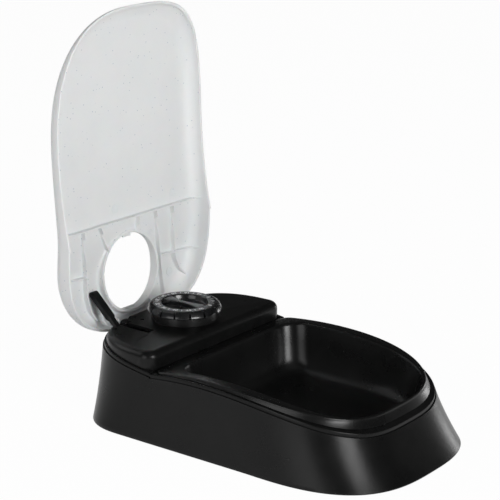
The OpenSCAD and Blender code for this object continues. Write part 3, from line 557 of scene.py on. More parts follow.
def join(piece: bpy.types.Object, extra: Surface, sharp: float = 32.0) -> None:
    """Adds closed shells to a finished piece's mesh.

    Args:
        piece: The object that gets them.
        extra: The shells, in millimetres.
        sharp: Angle for the shading of the result, in degrees.
    """
    other = extra.build("extra", sharp)
    mesh = bmesh.new()
    mesh.from_mesh(piece.data)
    mesh.from_mesh(other.data)
    mesh.to_mesh(piece.data)
    mesh.free()
    bpy.data.objects.remove(other)
    finish_shading(piece.data, sharp)


def box_tool(low: Sequence[float], high: Sequence[float]) -> bpy.types.Object:
    """A plain box to carve with.

    Args:
        low: Lowest corner, in millimetres.
        high: Highest corner.

    Returns:
        The box.
    """
    plan = np.array([[low[0], low[1]], [high[0], low[1]], [high[0], high[1]], [low[0], high[1]]], float)
    return Surface().add_rings([lifted(plan, low[2]), lifted(plan, high[2])]).build("tool")


def round_tool(x: float, y: float, low: float, high: float, radius: float) -> bpy.types.Object:
    """A round peg along Z, in millimetres, to carve with."""
    return Surface().add_rings(lathe([(radius, low), (radius, high)], (x, y), 48)).build("tool")


# --------------------------------------------------------------------------- finishes


MOST_OF_NOISE = (0.3, 0.7)
GRAIN_CELLS = 2600.0
SCATTER_DEPTH = 0.002
Value = bpy.types.NodeSocket | float | Colour


class Grain(Enum):
    """Surface textures of moulded plastic, as cells per metre and depth in metres."""

    FINE = (GRAIN_CELLS, 0.00003)
    SOFT = (900.0, 0.00005)
    MATT = (3600.0, 0.00006)


def supply(tree: bpy.types.NodeTree, value: Value, target: bpy.types.NodeSocket) -> None:
    """Joins an input to a socket, or gives it a plain number or colour.

    Args:
        tree: Node tree that holds the input.
        value: Output socket, number or colour.
        target: The input.
    """
    if isinstance(value, bpy.types.NodeSocket):
        tree.links.new(value, target)
    else:
        target.default_value = (*value, 1.0) if isinstance(value, tuple) else value


def add_node(tree: bpy.types.NodeTree, kind: str, **values: object) -> bpy.types.Node:
    """Adds a node and sets its attributes, or its inputs where the key names one.

    Args:
        tree: Node tree that gets the node.
        kind: Type of the node without the "ShaderNode" in front.
        values: Attributes, or inputs with underscores for spaces.

    Returns:
        The new node.
    """
    node = tree.nodes.new("ShaderNode" + kind)
    for key, value in values.items():
        if hasattr(node, key):
            setattr(node, key, value)
        else:
            node.inputs[key.replace("_", " ")].default_value = value
    return node


def maths(
    tree: bpy.types.NodeTree, operation: str, *values: Value, clamp: bool = False
) -> bpy.types.NodeSocket:
    """One sum on numbers and sockets.

    Args:
        tree: Node tree that gets the node.
        operation: Blender's name of the sum.
        values: What it works on, in order.
        clamp: Keeps the result from 0 to 1.

    Returns:
        The result's socket.
    """
    node = add_node(tree, "Math", operation=operation, use_clamp=clamp)
    for value, target in zip(values, node.inputs):
        supply(tree, value, target)
    return node.outputs[0]


def span(
    tree: bpy.types.NodeTree, source: bpy.types.NodeSocket,
    before: tuple[float, float], after: tuple[float, float] = (0.0, 1.0),
) -> bpy.types.NodeSocket:
    """Carries a value from one range over to another, in a straight line with held ends.

    Args:
        tree: Node tree that gets the node.
        source: The value.
        before: Its lowest and highest value that count.
        after: What they become.

    Returns:
        The result's socket.
    """
    node = add_node(
        tree, "MapRange", clamp=True,
        From_Min=before[0], From_Max=before[1], To_Min=after[0], To_Max=after[1],
    )
    supply(tree, source, node.inputs["Value"])
    return node.outputs[0]


def placed(tree: bpy.types.NodeTree, kind: str, **values: object) -> bpy.types.Node:
    """Adds a texture that reads the piece's own coordinates.

    Args:
        tree: Node tree that gets it.
        kind: Type of the node without the "ShaderNode" in front.
        values: Attributes and inputs.

    Returns:
        The texture's node.
    """
    node = add_node(tree, kind, **values)
    supply(tree, add_node(tree, "TexCoord").outputs["Object"], node.inputs["Vector"])
    return node


def noise(
    tree: bpy.types.NodeTree, scale: Value, detail: float, roughness: float = 0.5
) -> bpy.types.NodeSocket:
    """Noise of some cells per metre.

    Args:
        tree: Node tree that gets it.
        scale: Cells per metre.
        detail: Layers of finer noise.
        roughness: Share of each finer layer.

    Returns:
        The socket of its value.
    """
    node = placed(tree, "TexNoise", Detail=detail, Roughness=roughness)
    supply(tree, scale, node.inputs["Scale"])
    return node.outputs["Fac"]


def new_group(name: str, inputs: dict[str, float], outputs: Sequence[str]) -> bpy.types.NodeTree:
    """An empty shader node group with number inputs and number outputs.

    Args:
        name: Name of the group.
        inputs: Names of the inputs and their values.
        outputs: Names of the outputs.

    Returns:
        The group, with its input and output nodes named "in" and "out".
    """
    tree = bpy.data.node_groups.new(name, "ShaderNodeTree")
    for key, value in inputs.items():
        tree.interface.new_socket(key, in_out="INPUT", socket_type="NodeSocketFloat").default_value = value
    for key in outputs:
        tree.interface.new_socket(key, in_out="OUTPUT", socket_type="NodeSocketFloat")
    tree.nodes.new("NodeGroupInput").name = "in"
    tree.nodes.new("NodeGroupOutput").name = "out"
    return tree


def grain_group() -> bpy.types.NodeTree:
    """Moulded grain: fine noise plus a quarter of noise five times coarser, and broad patches.

    Returns:
        The group, with Cells going in, and Height and Patches, from 0 to 1, coming out.
    """
    tree = new_group("moulded_grain", {"Cells": GRAIN_CELLS}, ["Height", "Patches"])
    cells, out = tree.nodes["in"].outputs["Cells"], tree.nodes["out"].inputs
    fine = noise(tree, cells, 2.0, 0.6)
    coarse = noise(tree, maths(tree, "MULTIPLY", cells, 0.2), 3.0)
    supply(tree, maths(tree, "MULTIPLY_ADD", coarse, 0.25, fine), out["Height"])
    supply(tree, noise(tree, 38.0, 4.0, 0.62), out["Patches"])
    return tree


def dots_group() -> bpy.types.NodeTree:
    """Stray dots: the middles of a few random cells.

    Returns:
        The group, with Cells, Share and Radius going in, and a soft-edged Mask coming out.
    """
    tree = new_group("stray_dots", {"Cells": 120.0, "Share": 0.02, "Radius": 0.12}, ["Mask"])
    given = tree.nodes["in"].outputs
    cells = placed(tree, "TexVoronoi", feature="F1")
    supply(tree, given["Cells"], cells.inputs["Scale"])
    inside = maths(tree, "SUBTRACT", given["Radius"], cells.outputs["Distance"])
    dot = maths(tree, "MULTIPLY", inside, 18.0, clamp=True)
    draw = add_node(tree, "SeparateColor")
    supply(tree, cells.outputs["Color"], draw.inputs[0])
    chosen = maths(tree, "LESS_THAN", draw.outputs[0], given["Share"])
    supply(tree, maths(tree, "MULTIPLY", dot, chosen), tree.nodes["out"].inputs["Mask"])
    return tree


def wear_group() -> bpy.types.NodeTree:
    """Edge wear: pointiness above its middle value, broken up by noise.

    Returns:
        The group, with Amount going in, and a Mask from 0 to 1 coming out.
    """
    tree = new_group("edge_wear", {"Amount": 1.0}, ["Mask"])
    edge = span(tree, add_node(tree, "NewGeometry").outputs["Pointiness"], (0.515, 0.60))
    broken = span(tree, noise(tree, 210.0, 3.0), (0.36, 0.66))
    worn = maths(tree, "MULTIPLY", edge, broken)
    amount = tree.nodes["in"].outputs["Amount"]
    supply(tree, maths(tree, "MULTIPLY", worn, amount, clamp=True), tree.nodes["out"].inputs["Mask"])
    return tree


@dataclass
class Effects:
    """The node groups that the finishes share."""

    grain: bpy.types.NodeTree = field(default_factory=grain_group)
    dots: bpy.types.NodeTree = field(default_factory=dots_group)
    wear: bpy.types.NodeTree = field(default_factory=wear_group)


@dataclass
class Paint:
    """A material under construction: its tree and its shader."""

    name: str

    def __post_init__(self) -> None:
        """Makes the material and finds its shader."""
        self.material = bpy.data.materials.new(self.name)
        self.material.use_nodes = True
        self.tree = self.material.node_tree
        self.shader = self.tree.nodes["Principled BSDF"]

    def group(self, tree: bpy.types.NodeTree, **values: float) -> bpy.types.Node:
        """Places a shared node group.

        Args:
            tree: The group.
            values: This material's own values for its inputs.

        Returns:
            The group's node.
        """
        node = add_node(self.tree, "Group")
        node.node_tree = tree
        for key, value in values.items():
            node.inputs[key].default_value = value
        return node

    def blend(self, mask: bpy.types.NodeSocket, low: Value, high: Value) -> bpy.types.NodeSocket:
        """Goes from one colour to another where a mask rises.

        Args:
            mask: Socket of 0 to 1.
            low: Colour or socket at 0.
            high: Colour or socket at 1.

        Returns:
            The mixed colour's socket.
        """
        mixer = add_node(self.tree, "Mix", data_type="RGBA")
        for index, value in ((0, mask), (6, low), (7, high)):
            supply(self.tree, value, mixer.inputs[index])
        return mixer.outputs[2]

    def span(self, source: bpy.types.NodeSocket, low: float, high: float) -> bpy.types.NodeSocket:
        """Carries the range that most of a noise fills over to low to high."""
        return span(self.tree, source, MOST_OF_NOISE, (low, high))

    def bump(self, height: bpy.types.NodeSocket, depth: float) -> None:
        """Bends the shader's normal.

        Args:
            height: Height map of 0 to 1.
            depth: What 1 stands for, in metres.
        """
        node = add_node(self.tree, "Bump", Strength=1.0, Distance=depth)
        supply(self.tree, height, node.inputs["Height"])
        self.feed(Normal=node.outputs[0])

    def feed(self, **values: Value) -> None:
        """Gives the shader's own inputs numbers, colours or sockets, with underscores for spaces."""
        for key, value in values.items():
            supply(self.tree, value, self.shader.inputs[key.replace("_", " ")])


@dataclass(frozen=True)
class MouldedPlastic:
    """Injection-moulded plastic: grained, a little uneven in gloss, worn at its edges, with stray dots."""

    name: str
    colour: Colour
    other: Colour
    worn: Colour
    wear: float
    grain: Grain
    gloss: tuple[float, float]
    dots: Colour = (0.16, 0.16, 0.16)
    dot_share: float = 0.012
    dot_cells: float = 230.0
    dot_radius: float = 0.1
    bump: float = 1.0
    coat: float = 0.0
    scatter: float = 0.0
    specular: float = 0.5

    def material(self, effects: Effects) -> bpy.types.Material:
        """Builds the node material.

        Args:
            effects: Shared node groups.

        Returns:
            The material.
        """
        paint = Paint(self.name)
        cells, depth = self.grain.value
        grain = paint.group(effects.grain, Cells=cells).outputs
        dots = paint.group(effects.dots, Cells=self.dot_cells, Share=self.dot_share, Radius=self.dot_radius)
        wear = paint.group(effects.wear, Amount=self.wear)
        body = paint.blend(paint.span(grain["Patches"], 0.0, 1.0), self.colour, self.other)
        body = paint.blend(wear.outputs["Mask"], body, self.worn)
        body = paint.blend(dots.outputs["Mask"], body, self.dots)
        paint.feed(Base_Color=body, Roughness=paint.span(grain["Patches"], *self.gloss))
        paint.bump(grain["Height"], depth * self.bump)
        paint.feed(IOR=1.5, Specular_IOR_Level=self.specular, Coat_Weight=self.coat, Coat_Roughness=0.12)
        paint.feed(Subsurface_Weight=self.scatter, Subsurface_Scale=SCATTER_DEPTH)
        return paint.material


@dataclass(frozen=True)
class DrawnMetal:
    """Bare metal with fine lines along one axis and a few dull patches."""

    name: str
    colour: Colour
    dull: Colour
    stretch: tuple[float, float, float]
    gloss: tuple[float, float] = (0.22, 0.42)

    def material(self, effects: Effects) -> bpy.types.Material:
        """Builds the node material.

        Args:
            effects: Shared node groups.

        Returns:
            The material.
        """
        paint = Paint(self.name)
        stretched = placed(paint.tree, "Mapping", Scale=self.stretch)
        lines = add_node(paint.tree, "TexNoise", Scale=1.0, Detail=3.0)
        supply(paint.tree, stretched.outputs[0], lines.inputs["Vector"])
        patches = paint.group(effects.grain, Cells=1800.0).outputs["Patches"]
        body = paint.blend(paint.span(patches, 0.0, 1.0), self.colour, self.dull)
        paint.feed(Base_Color=body, Roughness=paint.span(lines.outputs["Fac"], *self.gloss), Metallic=1.0)
        paint.bump(lines.outputs["Fac"], 0.00002)
        return paint.material


@dataclass(frozen=True)
class BandedFinish:
    """A finish with stripes or tracks across one axis, as on a cell's jacket, a coil or a circuit board."""

    name: str
    colour: Colour
    stripe: Colour
    axis: str
    period: float
    distortion: float
    share: float
    gloss: float
    metallic: float = 0.0

    def material(self, effects: Effects) -> bpy.types.Material:
        """Builds the node material.

        Args:
            effects: Shared node groups.

        Returns:
            The material.
        """
        paint = Paint(self.name)
        waves = placed(
            paint.tree, "TexWave", bands_direction=self.axis, wave_profile="SIN",
            Scale=math.pi / 10.0 / self.period, Distortion=self.distortion, Detail=1.0, Detail_Scale=0.6,
        )
        start = 1.0 - self.share
        edge = span(paint.tree, waves.outputs["Fac"], (start - 0.05, start + 0.05))
        patches = paint.group(effects.grain, Cells=1500.0).outputs["Patches"]
        paint.feed(
            Base_Color=paint.blend(edge, self.colour, self.stripe), Metallic=self.metallic,
            Roughness=paint.span(patches, self.gloss * 0.8, self.gloss * 1.25),
        )
        paint.bump(waves.outputs["Fac"], 0.00006)
        return paint.material


FINISHES = {finish.name: finish for finish in (
    MouldedPlastic(
        "black_shell", (0.0042, 0.0043, 0.0043), (0.0060, 0.0061, 0.0060), (0.016, 0.0165, 0.0165), 0.5,
        Grain.FINE, (0.26, 0.33), dot_share=0.004, specular=0.16),
    MouldedPlastic(
        "black_bowl", (0.0042, 0.0043, 0.0043), (0.0058, 0.0059, 0.0058), (0.016, 0.0165, 0.0165), 0.4,
        Grain.SOFT, (0.25, 0.33), dot_share=0.002, bump=0.5, specular=0.25),
    MouldedPlastic(
        "black_floor", (0.014, 0.0145, 0.015), (0.02, 0.0205, 0.021), (0.05, 0.05, 0.05), 0.6,
        Grain.MATT, (0.55, 0.66)),
    MouldedPlastic(
        "rubber_foot", (0.022, 0.022, 0.022), (0.034, 0.033, 0.032), (0.06, 0.058, 0.055), 0.7,
        Grain.MATT, (0.80, 0.92), dot_share=0.05),
    MouldedPlastic(
        "gloss_black", (0.0060, 0.0063, 0.0068), (0.0080, 0.0084, 0.0090), (0.014, 0.0145, 0.0155), 0.4,
        Grain.SOFT, (0.22, 0.32), dot_share=0.004, bump=0.35, coat=0.25, specular=0.3),
    MouldedPlastic(
        "arm_black", (0.0036, 0.0037, 0.0038), (0.0050, 0.0051, 0.0052), (0.010, 0.010, 0.0105), 0.7,
        Grain.FINE, (0.34, 0.46), dot_share=0.004, specular=0.25),
    MouldedPlastic(
        "speckled_grey", (0.76, 0.775, 0.78), (0.79, 0.80, 0.80), (0.84, 0.84, 0.84), 0.3,
        Grain.SOFT, (0.42, 0.55), (0.38, 0.44, 0.52), 0.42, 330.0, 0.14, bump=0.8, scatter=0.08),
    MouldedPlastic(
        "nylon", (0.78, 0.765, 0.70), (0.83, 0.82, 0.77), (0.88, 0.87, 0.84), 0.4,
        Grain.SOFT, (0.36, 0.48), (0.6, 0.58, 0.52), scatter=0.15),
    MouldedPlastic(
        "grey_case", (0.55, 0.54, 0.50), (0.60, 0.59, 0.55), (0.7, 0.7, 0.67), 0.5,
        Grain.MATT, (0.48, 0.6), (0.4, 0.4, 0.37)),
    MouldedPlastic(
        "white_ink", (0.86, 0.87, 0.88), (0.78, 0.79, 0.80), (0.74, 0.75, 0.76), 0.0,
        Grain.SOFT, (0.5, 0.6), (0.3, 0.3, 0.3), 0.05, bump=0.2),
    DrawnMetal("steel", (0.60, 0.60, 0.61), (0.45, 0.45, 0.46), (60.0, 2400.0, 2400.0)),
    DrawnMetal("rotor_magnet", (0.11, 0.115, 0.12), (0.17, 0.17, 0.175), (900.0, 900.0, 90.0), (0.4, 0.55)),
    DrawnMetal("spring_copper", (0.62, 0.36, 0.20), (0.45, 0.25, 0.14), (1200.0, 1200.0, 1200.0)),
    BandedFinish("copper_wire", (0.42, 0.16, 0.06), (0.70, 0.32, 0.13), "Y", 0.00035, 0.4, 0.55, 0.3, 1.0),
    BandedFinish("board", (0.02, 0.12, 0.045), (0.06, 0.24, 0.09), "X", 0.0031, 9.0, 0.28, 0.32),
    BandedFinish("cell_jacket", (0.05, 0.16, 0.28), (0.60, 0.62, 0.64), "X", 0.034, 0.0, 0.3, 0.3),
)}

NODE_FINISHES = {
    "bottom_plate": "black_floor", "battery_door": "black_floor", "rubber_feet": "rubber_foot",
    "base_screws": "steel", "cover_screws": "steel", "timer_screws": "steel", "dial_spindle": "nylon",
    "timer_case_upper": "grey_case", "timer_case_lower": "grey_case", "drive_gear": "nylon",
    "clutch_washer": "steel", "idler_gear": "nylon", "idler_pin": "steel", "motor_rotor": "rotor_magnet",
    "motor_stator": "steel", "motor_coil": "copper_wire", "circuit_board": "board",
    "battery_cell": "cell_jacket", "battery_spring": "steel", "battery_contact": "steel",
    "arm_bracket": "arm_black", "arm_pin": "steel", "arm_spring": "spring_copper", "hinge_pins": "steel",
}


@dataclass
class Finisher:
    """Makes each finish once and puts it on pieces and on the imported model's own nodes."""

    nodes: dict[str, bpy.types.Object]
    effects: Effects = field(default_factory=Effects)
    made: dict[str, bpy.types.Material] = field(default_factory=dict)

    def material(self, name: str) -> bpy.types.Material:
        """The material of a finish, made at its first use.

        Args:
            name: Name of the finish.

        Returns:
            The material.
        """
        if name not in self.made:
            self.made[name] = FINISHES[name].material(self.effects)
        return self.made[name]

    def dress(self, piece: bpy.types.Object, name: str) -> None:
        """Gives a piece a finish as its only material."""
        piece.data.materials.clear()
        piece.data.materials.append(self.material(name))

    def node(self, name: str, finish: str) -> None:
        """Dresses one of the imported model's nodes and keeps its mesh.

        Args:
            name: Name of the node.
            finish: Name of the finish.
        """
        for item in self.nodes[name].material_slots:
            item.material = self.material(finish)
        LOG.info("node %s wears %s", name, finish)


# --------------------------------------------------------------------------- pieces


@dataclass
class BaseShell:
    """The flared base: wall, band, seat flange, cross bar, screw posts and hinge bosses."""

    shape: FeederShape
    wall: float = 2.4
    foot_extra: float = 0.4
    edge: float = 1.0
    hollow: float = 0.26
    ceiling_gap: float = 0.6
    band_inset: float = 0.8
    band_height: float = 2.3
    band_lip: float = 0.4
    levels: int = 22
    bar_front: float = 5.0
    bar_rear: float = 6.0
    bar_bury: float = 0.6
    panel_foot: float = 6.0
    posts: tuple[tuple[float, float], ...] = ((69.0, -20.0), (66.0, 84.0))
    post_radius: float = 3.2
    post_foot: float = 5.6
    post_gap: float = 1.2
    boss_radius: float = 2.5
    boss_length: float = 5.0
    boss_set: float = 0.4
    notch_front: float = 6.5
    notch_foot: float = 3.7
    notch_top: float = 12.0
    pocket_half: float = 8.0
    pocket_front: float = 10.0
    pocket_rear: float = 2.95
    slot_front: float = 11.0
    slot_rear: float = 3.5

    def flared(self, t: float) -> float:
        """Share of the way from the foot's outline to the top's: t + k t (1 - t), hollow by k."""
        return t + self.hollow * t * (1 - t)

    def rings(self) -> list[np.ndarray]:
        """Rings up the outside, over the band and flange, and down the inside.

        Returns:
            The rings of a closed loop.
        """
        shape = self.shape
        foot, top = shape.foot_loop(), shape.top_loop()
        rim = shape.base_top_z(top[:, 1])
        crown = rim - self.band_height - self.band_lip
        rings = [
            lifted(shape.foot_loop(self.edge * (1 - math.sin(a))), self.edge * (1 - math.cos(a)))
            for a in np.radians([0.0, 30.0, 60.0, 90.0])
        ]
        for t in np.linspace(0.0, 1.0, self.levels)[1:]:
            rings.append(lifted(mix(foot, top, self.flared(t)), mix(self.edge, crown, t)))
        deep, tall = self.band_inset, self.band_height
        band = [(0.25, -0.12), (deep, 0.0), (deep, 0.25), (deep, tall + 0.05),
                (deep + 0.12, tall + 0.3), (deep + self.band_lip, tall + self.band_lip)]
        rings += [lifted(shape.top_loop(inset), crown + rise) for inset, rise in band]
        flange = shape.flange_loop()
        high = shape.base_top_z(flange[:, 1])
        inner_foot, inner_top = shape.foot_loop(self.wall + self.foot_extra), shape.top_loop(self.wall)
        ceiling = rim - self.wall - self.ceiling_gap
        rings += [lifted(flange, high), lifted(flange, high - self.wall), lifted(inner_top, ceiling)]
        for t in (0.8, 0.6, 0.4, 0.2):
            rings.append(lifted(mix(inner_foot, inner_top, self.flared(t)), mix(self.edge, ceiling, t)))
        return rings + [lifted(inner_foot, 0.0)]

    def inner_parts(self) -> Surface:
        """Cross bar, panel, screw posts and hinge bosses.

        Returns:
            The parts as closed shells.
        """
        shape, panel = self.shape, self.shape.panel_y
        seat, ledge = shape.seat_z, shape.ledge_z
        front, rear = shape.cover_front_y - self.bar_front, shape.cover_front_y + self.bar_rear
        half = shape.top_half - self.wall + self.bar_bury
        bar = [(front, seat(front) - self.wall), (rear, seat(panel) - self.wall), (rear, ledge(rear)),
               (panel, ledge(panel)), (panel, seat(panel)), (front, seat(front))]
        parts = Surface().add_rings(prism_x(bar, -half, half))
        low, high = (-half, panel, self.panel_foot), (half, panel + self.wall, float(seat(panel)) - 1.0)
        parts.add_rings(block(low, high, 0.2))
        for x, y in self.posts:
            top = float(shape.base_top_z(np.asarray(y))) - self.post_gap
            post = [(self.post_radius, self.post_foot), (self.post_radius, top)]
            for side in SIDES:
                parts.add_rings(lathe(post, (side * x, y), 32))
        for side in SIDES:
            for outward in SIDES:
                x = side * shape.lug_x + outward * (shape.lug_notch + self.boss_length / 2)
                centre = (x, shape.hinge_y - self.boss_set, shape.hinge_z)
                parts.add_rings(rod_x(centre, self.boss_radius, self.boss_length))
        return parts

    def tools(self) -> list[bpy.types.Object]:
        """Boxes that cut the hinge lugs' notches and the arm's slot.

        Returns:
            The boxes.
        """
        shape, x, y = self.shape, self.shape.arm_x, self.shape.arm_y
        low = (shape.hinge_y - self.notch_front, shape.hinge_z - self.notch_foot)
        high = (shape.cut_rear, shape.hinge_z + self.notch_top)
        tools = []
        for middle in (side * shape.lug_x for side in SIDES):
            tools.append(box_tool((middle - shape.lug_notch, *low), (middle + shape.lug_notch, *high)))
        for half, front, rear, top in (
            (self.pocket_half, self.pocket_front, self.pocket_rear, shape.cut_top),
            (shape.arm_slot_half, self.slot_front, self.slot_rear, shape.cut_top + 1),
        ):
            tools.append(box_tool((x - half, y - front, shape.cut_foot), (x + half, y + rear, top)))
        return tools

    def build(self, finisher: Finisher) -> bpy.types.Object:
        """Makes, carves and dresses the shell.

        Args:
            finisher: Maker of the finishes.

        Returns:
            The piece.
        """
        piece = Surface().add_rings(self.rings(), close=True).build("base_moulding")
        carve(piece, self.tools())
        join(piece, self.inner_parts())
        finisher.dress(piece, "black_shell")
        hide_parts("base_shell")
        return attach(piece, "base")


@dataclass
class BowlTray:
    """The lift-out bowl: a deep tray with a flared lip that sits over the seat."""

    shape: FeederShape
    half: float = 70.5
    front: float = 93.7
    rear: float = 49.8
    corner: float = 8.0
    power: float = 3.05
    opening_y: float = -10.0
    opening_half: float = 61.5
    opening_front: float = 92.0
    opening_rear: float = 38.0
    opening_corner: float = 16.0
    opening_power: float = 3.3
    flare: float = 3.0
    flare_power: float = 1.35
    wall: float = 2.0
    lip_wall: float = 1.8
    lip_edge: float = 0.15
    floor: float = 16.0
    seat_gap: float = 0.3
    brim_gap: float = 0.6
    root_depth: float = 1.9
    rim_bend: float = 1.1
    mouth_bend: float = 1.4
    mouth_dip: float = 0.12
    throat: float = 0.9
    arc_count: int = 150
    wall_line: tuple[tuple[float, float], ...] = (
        (0.0, 1.0), (0.5, 0.93), (1.5, 0.8), (3.5, 0.5), (6.0, 0.22), (8.5, 0.1), (12.5, 0.03), (20.0, 0.0),
    )

    def loop(
        self, centre: float, half: float, front: float, power: float, rear: float, corner: float
    ) -> np.ndarray:
        """An outline with a superelliptic front, straight sides and a straight back with round corners.

        Args:
            centre: The y where the front curve is widest.
            half: Half width.
            front: How far the front reaches before the middle.
            power: Squareness of the front curve.
            rear: The y of the back edge.
            corner: Radius of the back corners.

        Returns:
            Points as rows of x and y, anticlockwise seen from above.
        """
        turn = np.radians(np.linspace(0.0, 90.0, 17))
        quarter = circle(corner, turn, (half - corner, rear - corner))
        flip = np.array([-1.0, 1.0])
        side = straight((half, centre), (half, rear - corner), 20)
        back = straight((half - corner, rear), (corner - half, rear), 41)
        return np.concatenate([
            superellipse_arc(centre, half, front + centre, power, 180.0, 360.0, self.arc_count),
            side, quarter, back, quarter[::-1] * flip, side[::-1] * flip,
        ])

    def rim_loop(self, inset: float, flare: float = 0.0) -> np.ndarray:
        """Outline of the rim.

        Args:
            inset: How far it is drawn in.
            flare: How far it is pushed out, all of it at the front and a sixth at the sides.

        Returns:
            Points as rows of x and y.
        """
        half, front = self.half - inset + flare / 6, self.front - inset + flare
        return self.loop(0.0, half, front, self.power, self.rear - inset, self.corner - inset)

    def well_loop(self, inset: float) -> np.ndarray:
        """Outline of the well, drawn in by inset."""
        half, front, rear = (v - inset for v in (self.opening_half, self.opening_front, self.opening_rear))
        return self.loop(self.opening_y, half, front, self.opening_power, rear, self.opening_corner)

    def foot_z(self, y: np.ndarray) -> np.ndarray:
        """Lower edge of the lip, a gap above the seat."""
        return self.shape.seat_z(y) + self.seat_gap

    def wall_z(self, y: np.ndarray, share: float) -> np.ndarray:
        """Height of the well's wall: the floor at share 0, just under the rim's top at share 1."""
        return mix(self.floor, self.shape.rim_z(y) - self.throat, share)

    def brim_under(self, y: np.ndarray) -> np.ndarray:
        """Underside of the rim: a wall below its top, or just above the seat where that is higher."""
        return np.maximum(self.shape.rim_z(y) - self.wall, self.shape.seat_z(y) + self.brim_gap)

    def brim_root(self, y: np.ndarray) -> np.ndarray:
        """Underside where the rim meets the well's wall."""
        rim = self.shape.rim_z(y)
        return np.maximum(rim - self.throat - self.wall, np.minimum(self.foot_z(y), rim - self.root_depth))

    def under_rings(self, line: np.ndarray) -> list[np.ndarray]:
        """Rings of the underside, from under the floor up to the foot of the lip.

        Args:
            line: Inset and share of the height at each step down the well's wall.

        Returns:
            The rings, outwards.
        """
        rings = []
        for inset, share in line[::-3]:
            plan = self.well_loop(inset - self.wall * (0.5 if share < 0.1 else 1.0))
            y = plan[:, 1]
            rings.append(lifted(plan, np.minimum(self.wall_z(y, share) - self.wall, self.brim_root(y))))
        rings[-1] = lifted(self.well_loop(-self.wall), self.brim_root)
        return rings + [
            lifted(self.rim_loop(self.lip_wall), self.brim_under),
            lifted(self.rim_loop(self.lip_wall, self.flare), self.foot_z),
            lifted(self.rim_loop(self.lip_edge, self.flare), self.foot_z),
            lifted(self.rim_loop(0.0, self.flare), lambda y: self.foot_z(y) + self.lip_edge),
        ]

    def lip_rings(self) -> list[np.ndarray]:
        """Rings up the lip, which flares by a power of 1 - t, round the rim and into the mouth.

        Returns:
            The rings, inwards.
        """
        rings, bend, rim = [], self.rim_bend, self.shape.rim_z
        for t in (0.15, 0.3, 0.45, 0.6, 0.75, 0.9, 1.0):
            plan = self.rim_loop(0.0, self.flare * (1 - t) ** self.flare_power)
            y = plan[:, 1]
            rings.append(lifted(plan, mix(self.foot_z(y) + self.lip_edge, rim(y) - bend, t)))
        for a in np.radians([22.5, 45.0, 67.5, 90.0]):
            plan = self.rim_loop(bend * (1 - math.cos(a)))
            rings.append(lifted(plan, rim(plan[:, 1]) - bend * (1 - math.sin(a))))
        for t in (0.25, 0.5, 0.75, 1.0):
            plan = mix(self.rim_loop(bend), self.well_loop(-self.mouth_bend), t)
            rings.append(lifted(plan, rim(plan[:, 1]) - self.mouth_dip * t * t))
        for a in np.radians([25.0, 50.0, 72.0]):
            plan = self.well_loop(-self.mouth_bend * (1 - math.sin(a)))
            rings.append(lifted(plan, rim(plan[:, 1]) - self.mouth_dip - bend * (1 - math.cos(a))))
        return rings

    def rings(self) -> list[np.ndarray]:
        """Rings from under the floor, out and up, round the lip and down into the well.

        Returns:
            The rings of the skin, from the underside's middle to the floor's.
        """
        line = chaikin(np.array(self.wall_line), 2)
        rings = self.under_rings(line) + self.lip_rings()
        for inset, share in line[line[:, 1] < 0.97]:
            plan = self.well_loop(inset)
            rings.append(lifted(plan, self.wall_z(plan[:, 1], share)))
        return rings

    def build(self, finisher: Finisher) -> bpy.types.Object:
        """Makes and dresses the bowl.

        Args:
            finisher: Maker of the finishes.

        Returns:
            The piece.
        """
        piece = Surface().add_rings(self.rings()).build("bowl_tray", 40.0)
        finisher.dress(piece, "black_bowl")
        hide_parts("bowl")
        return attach(piece, "bowl")


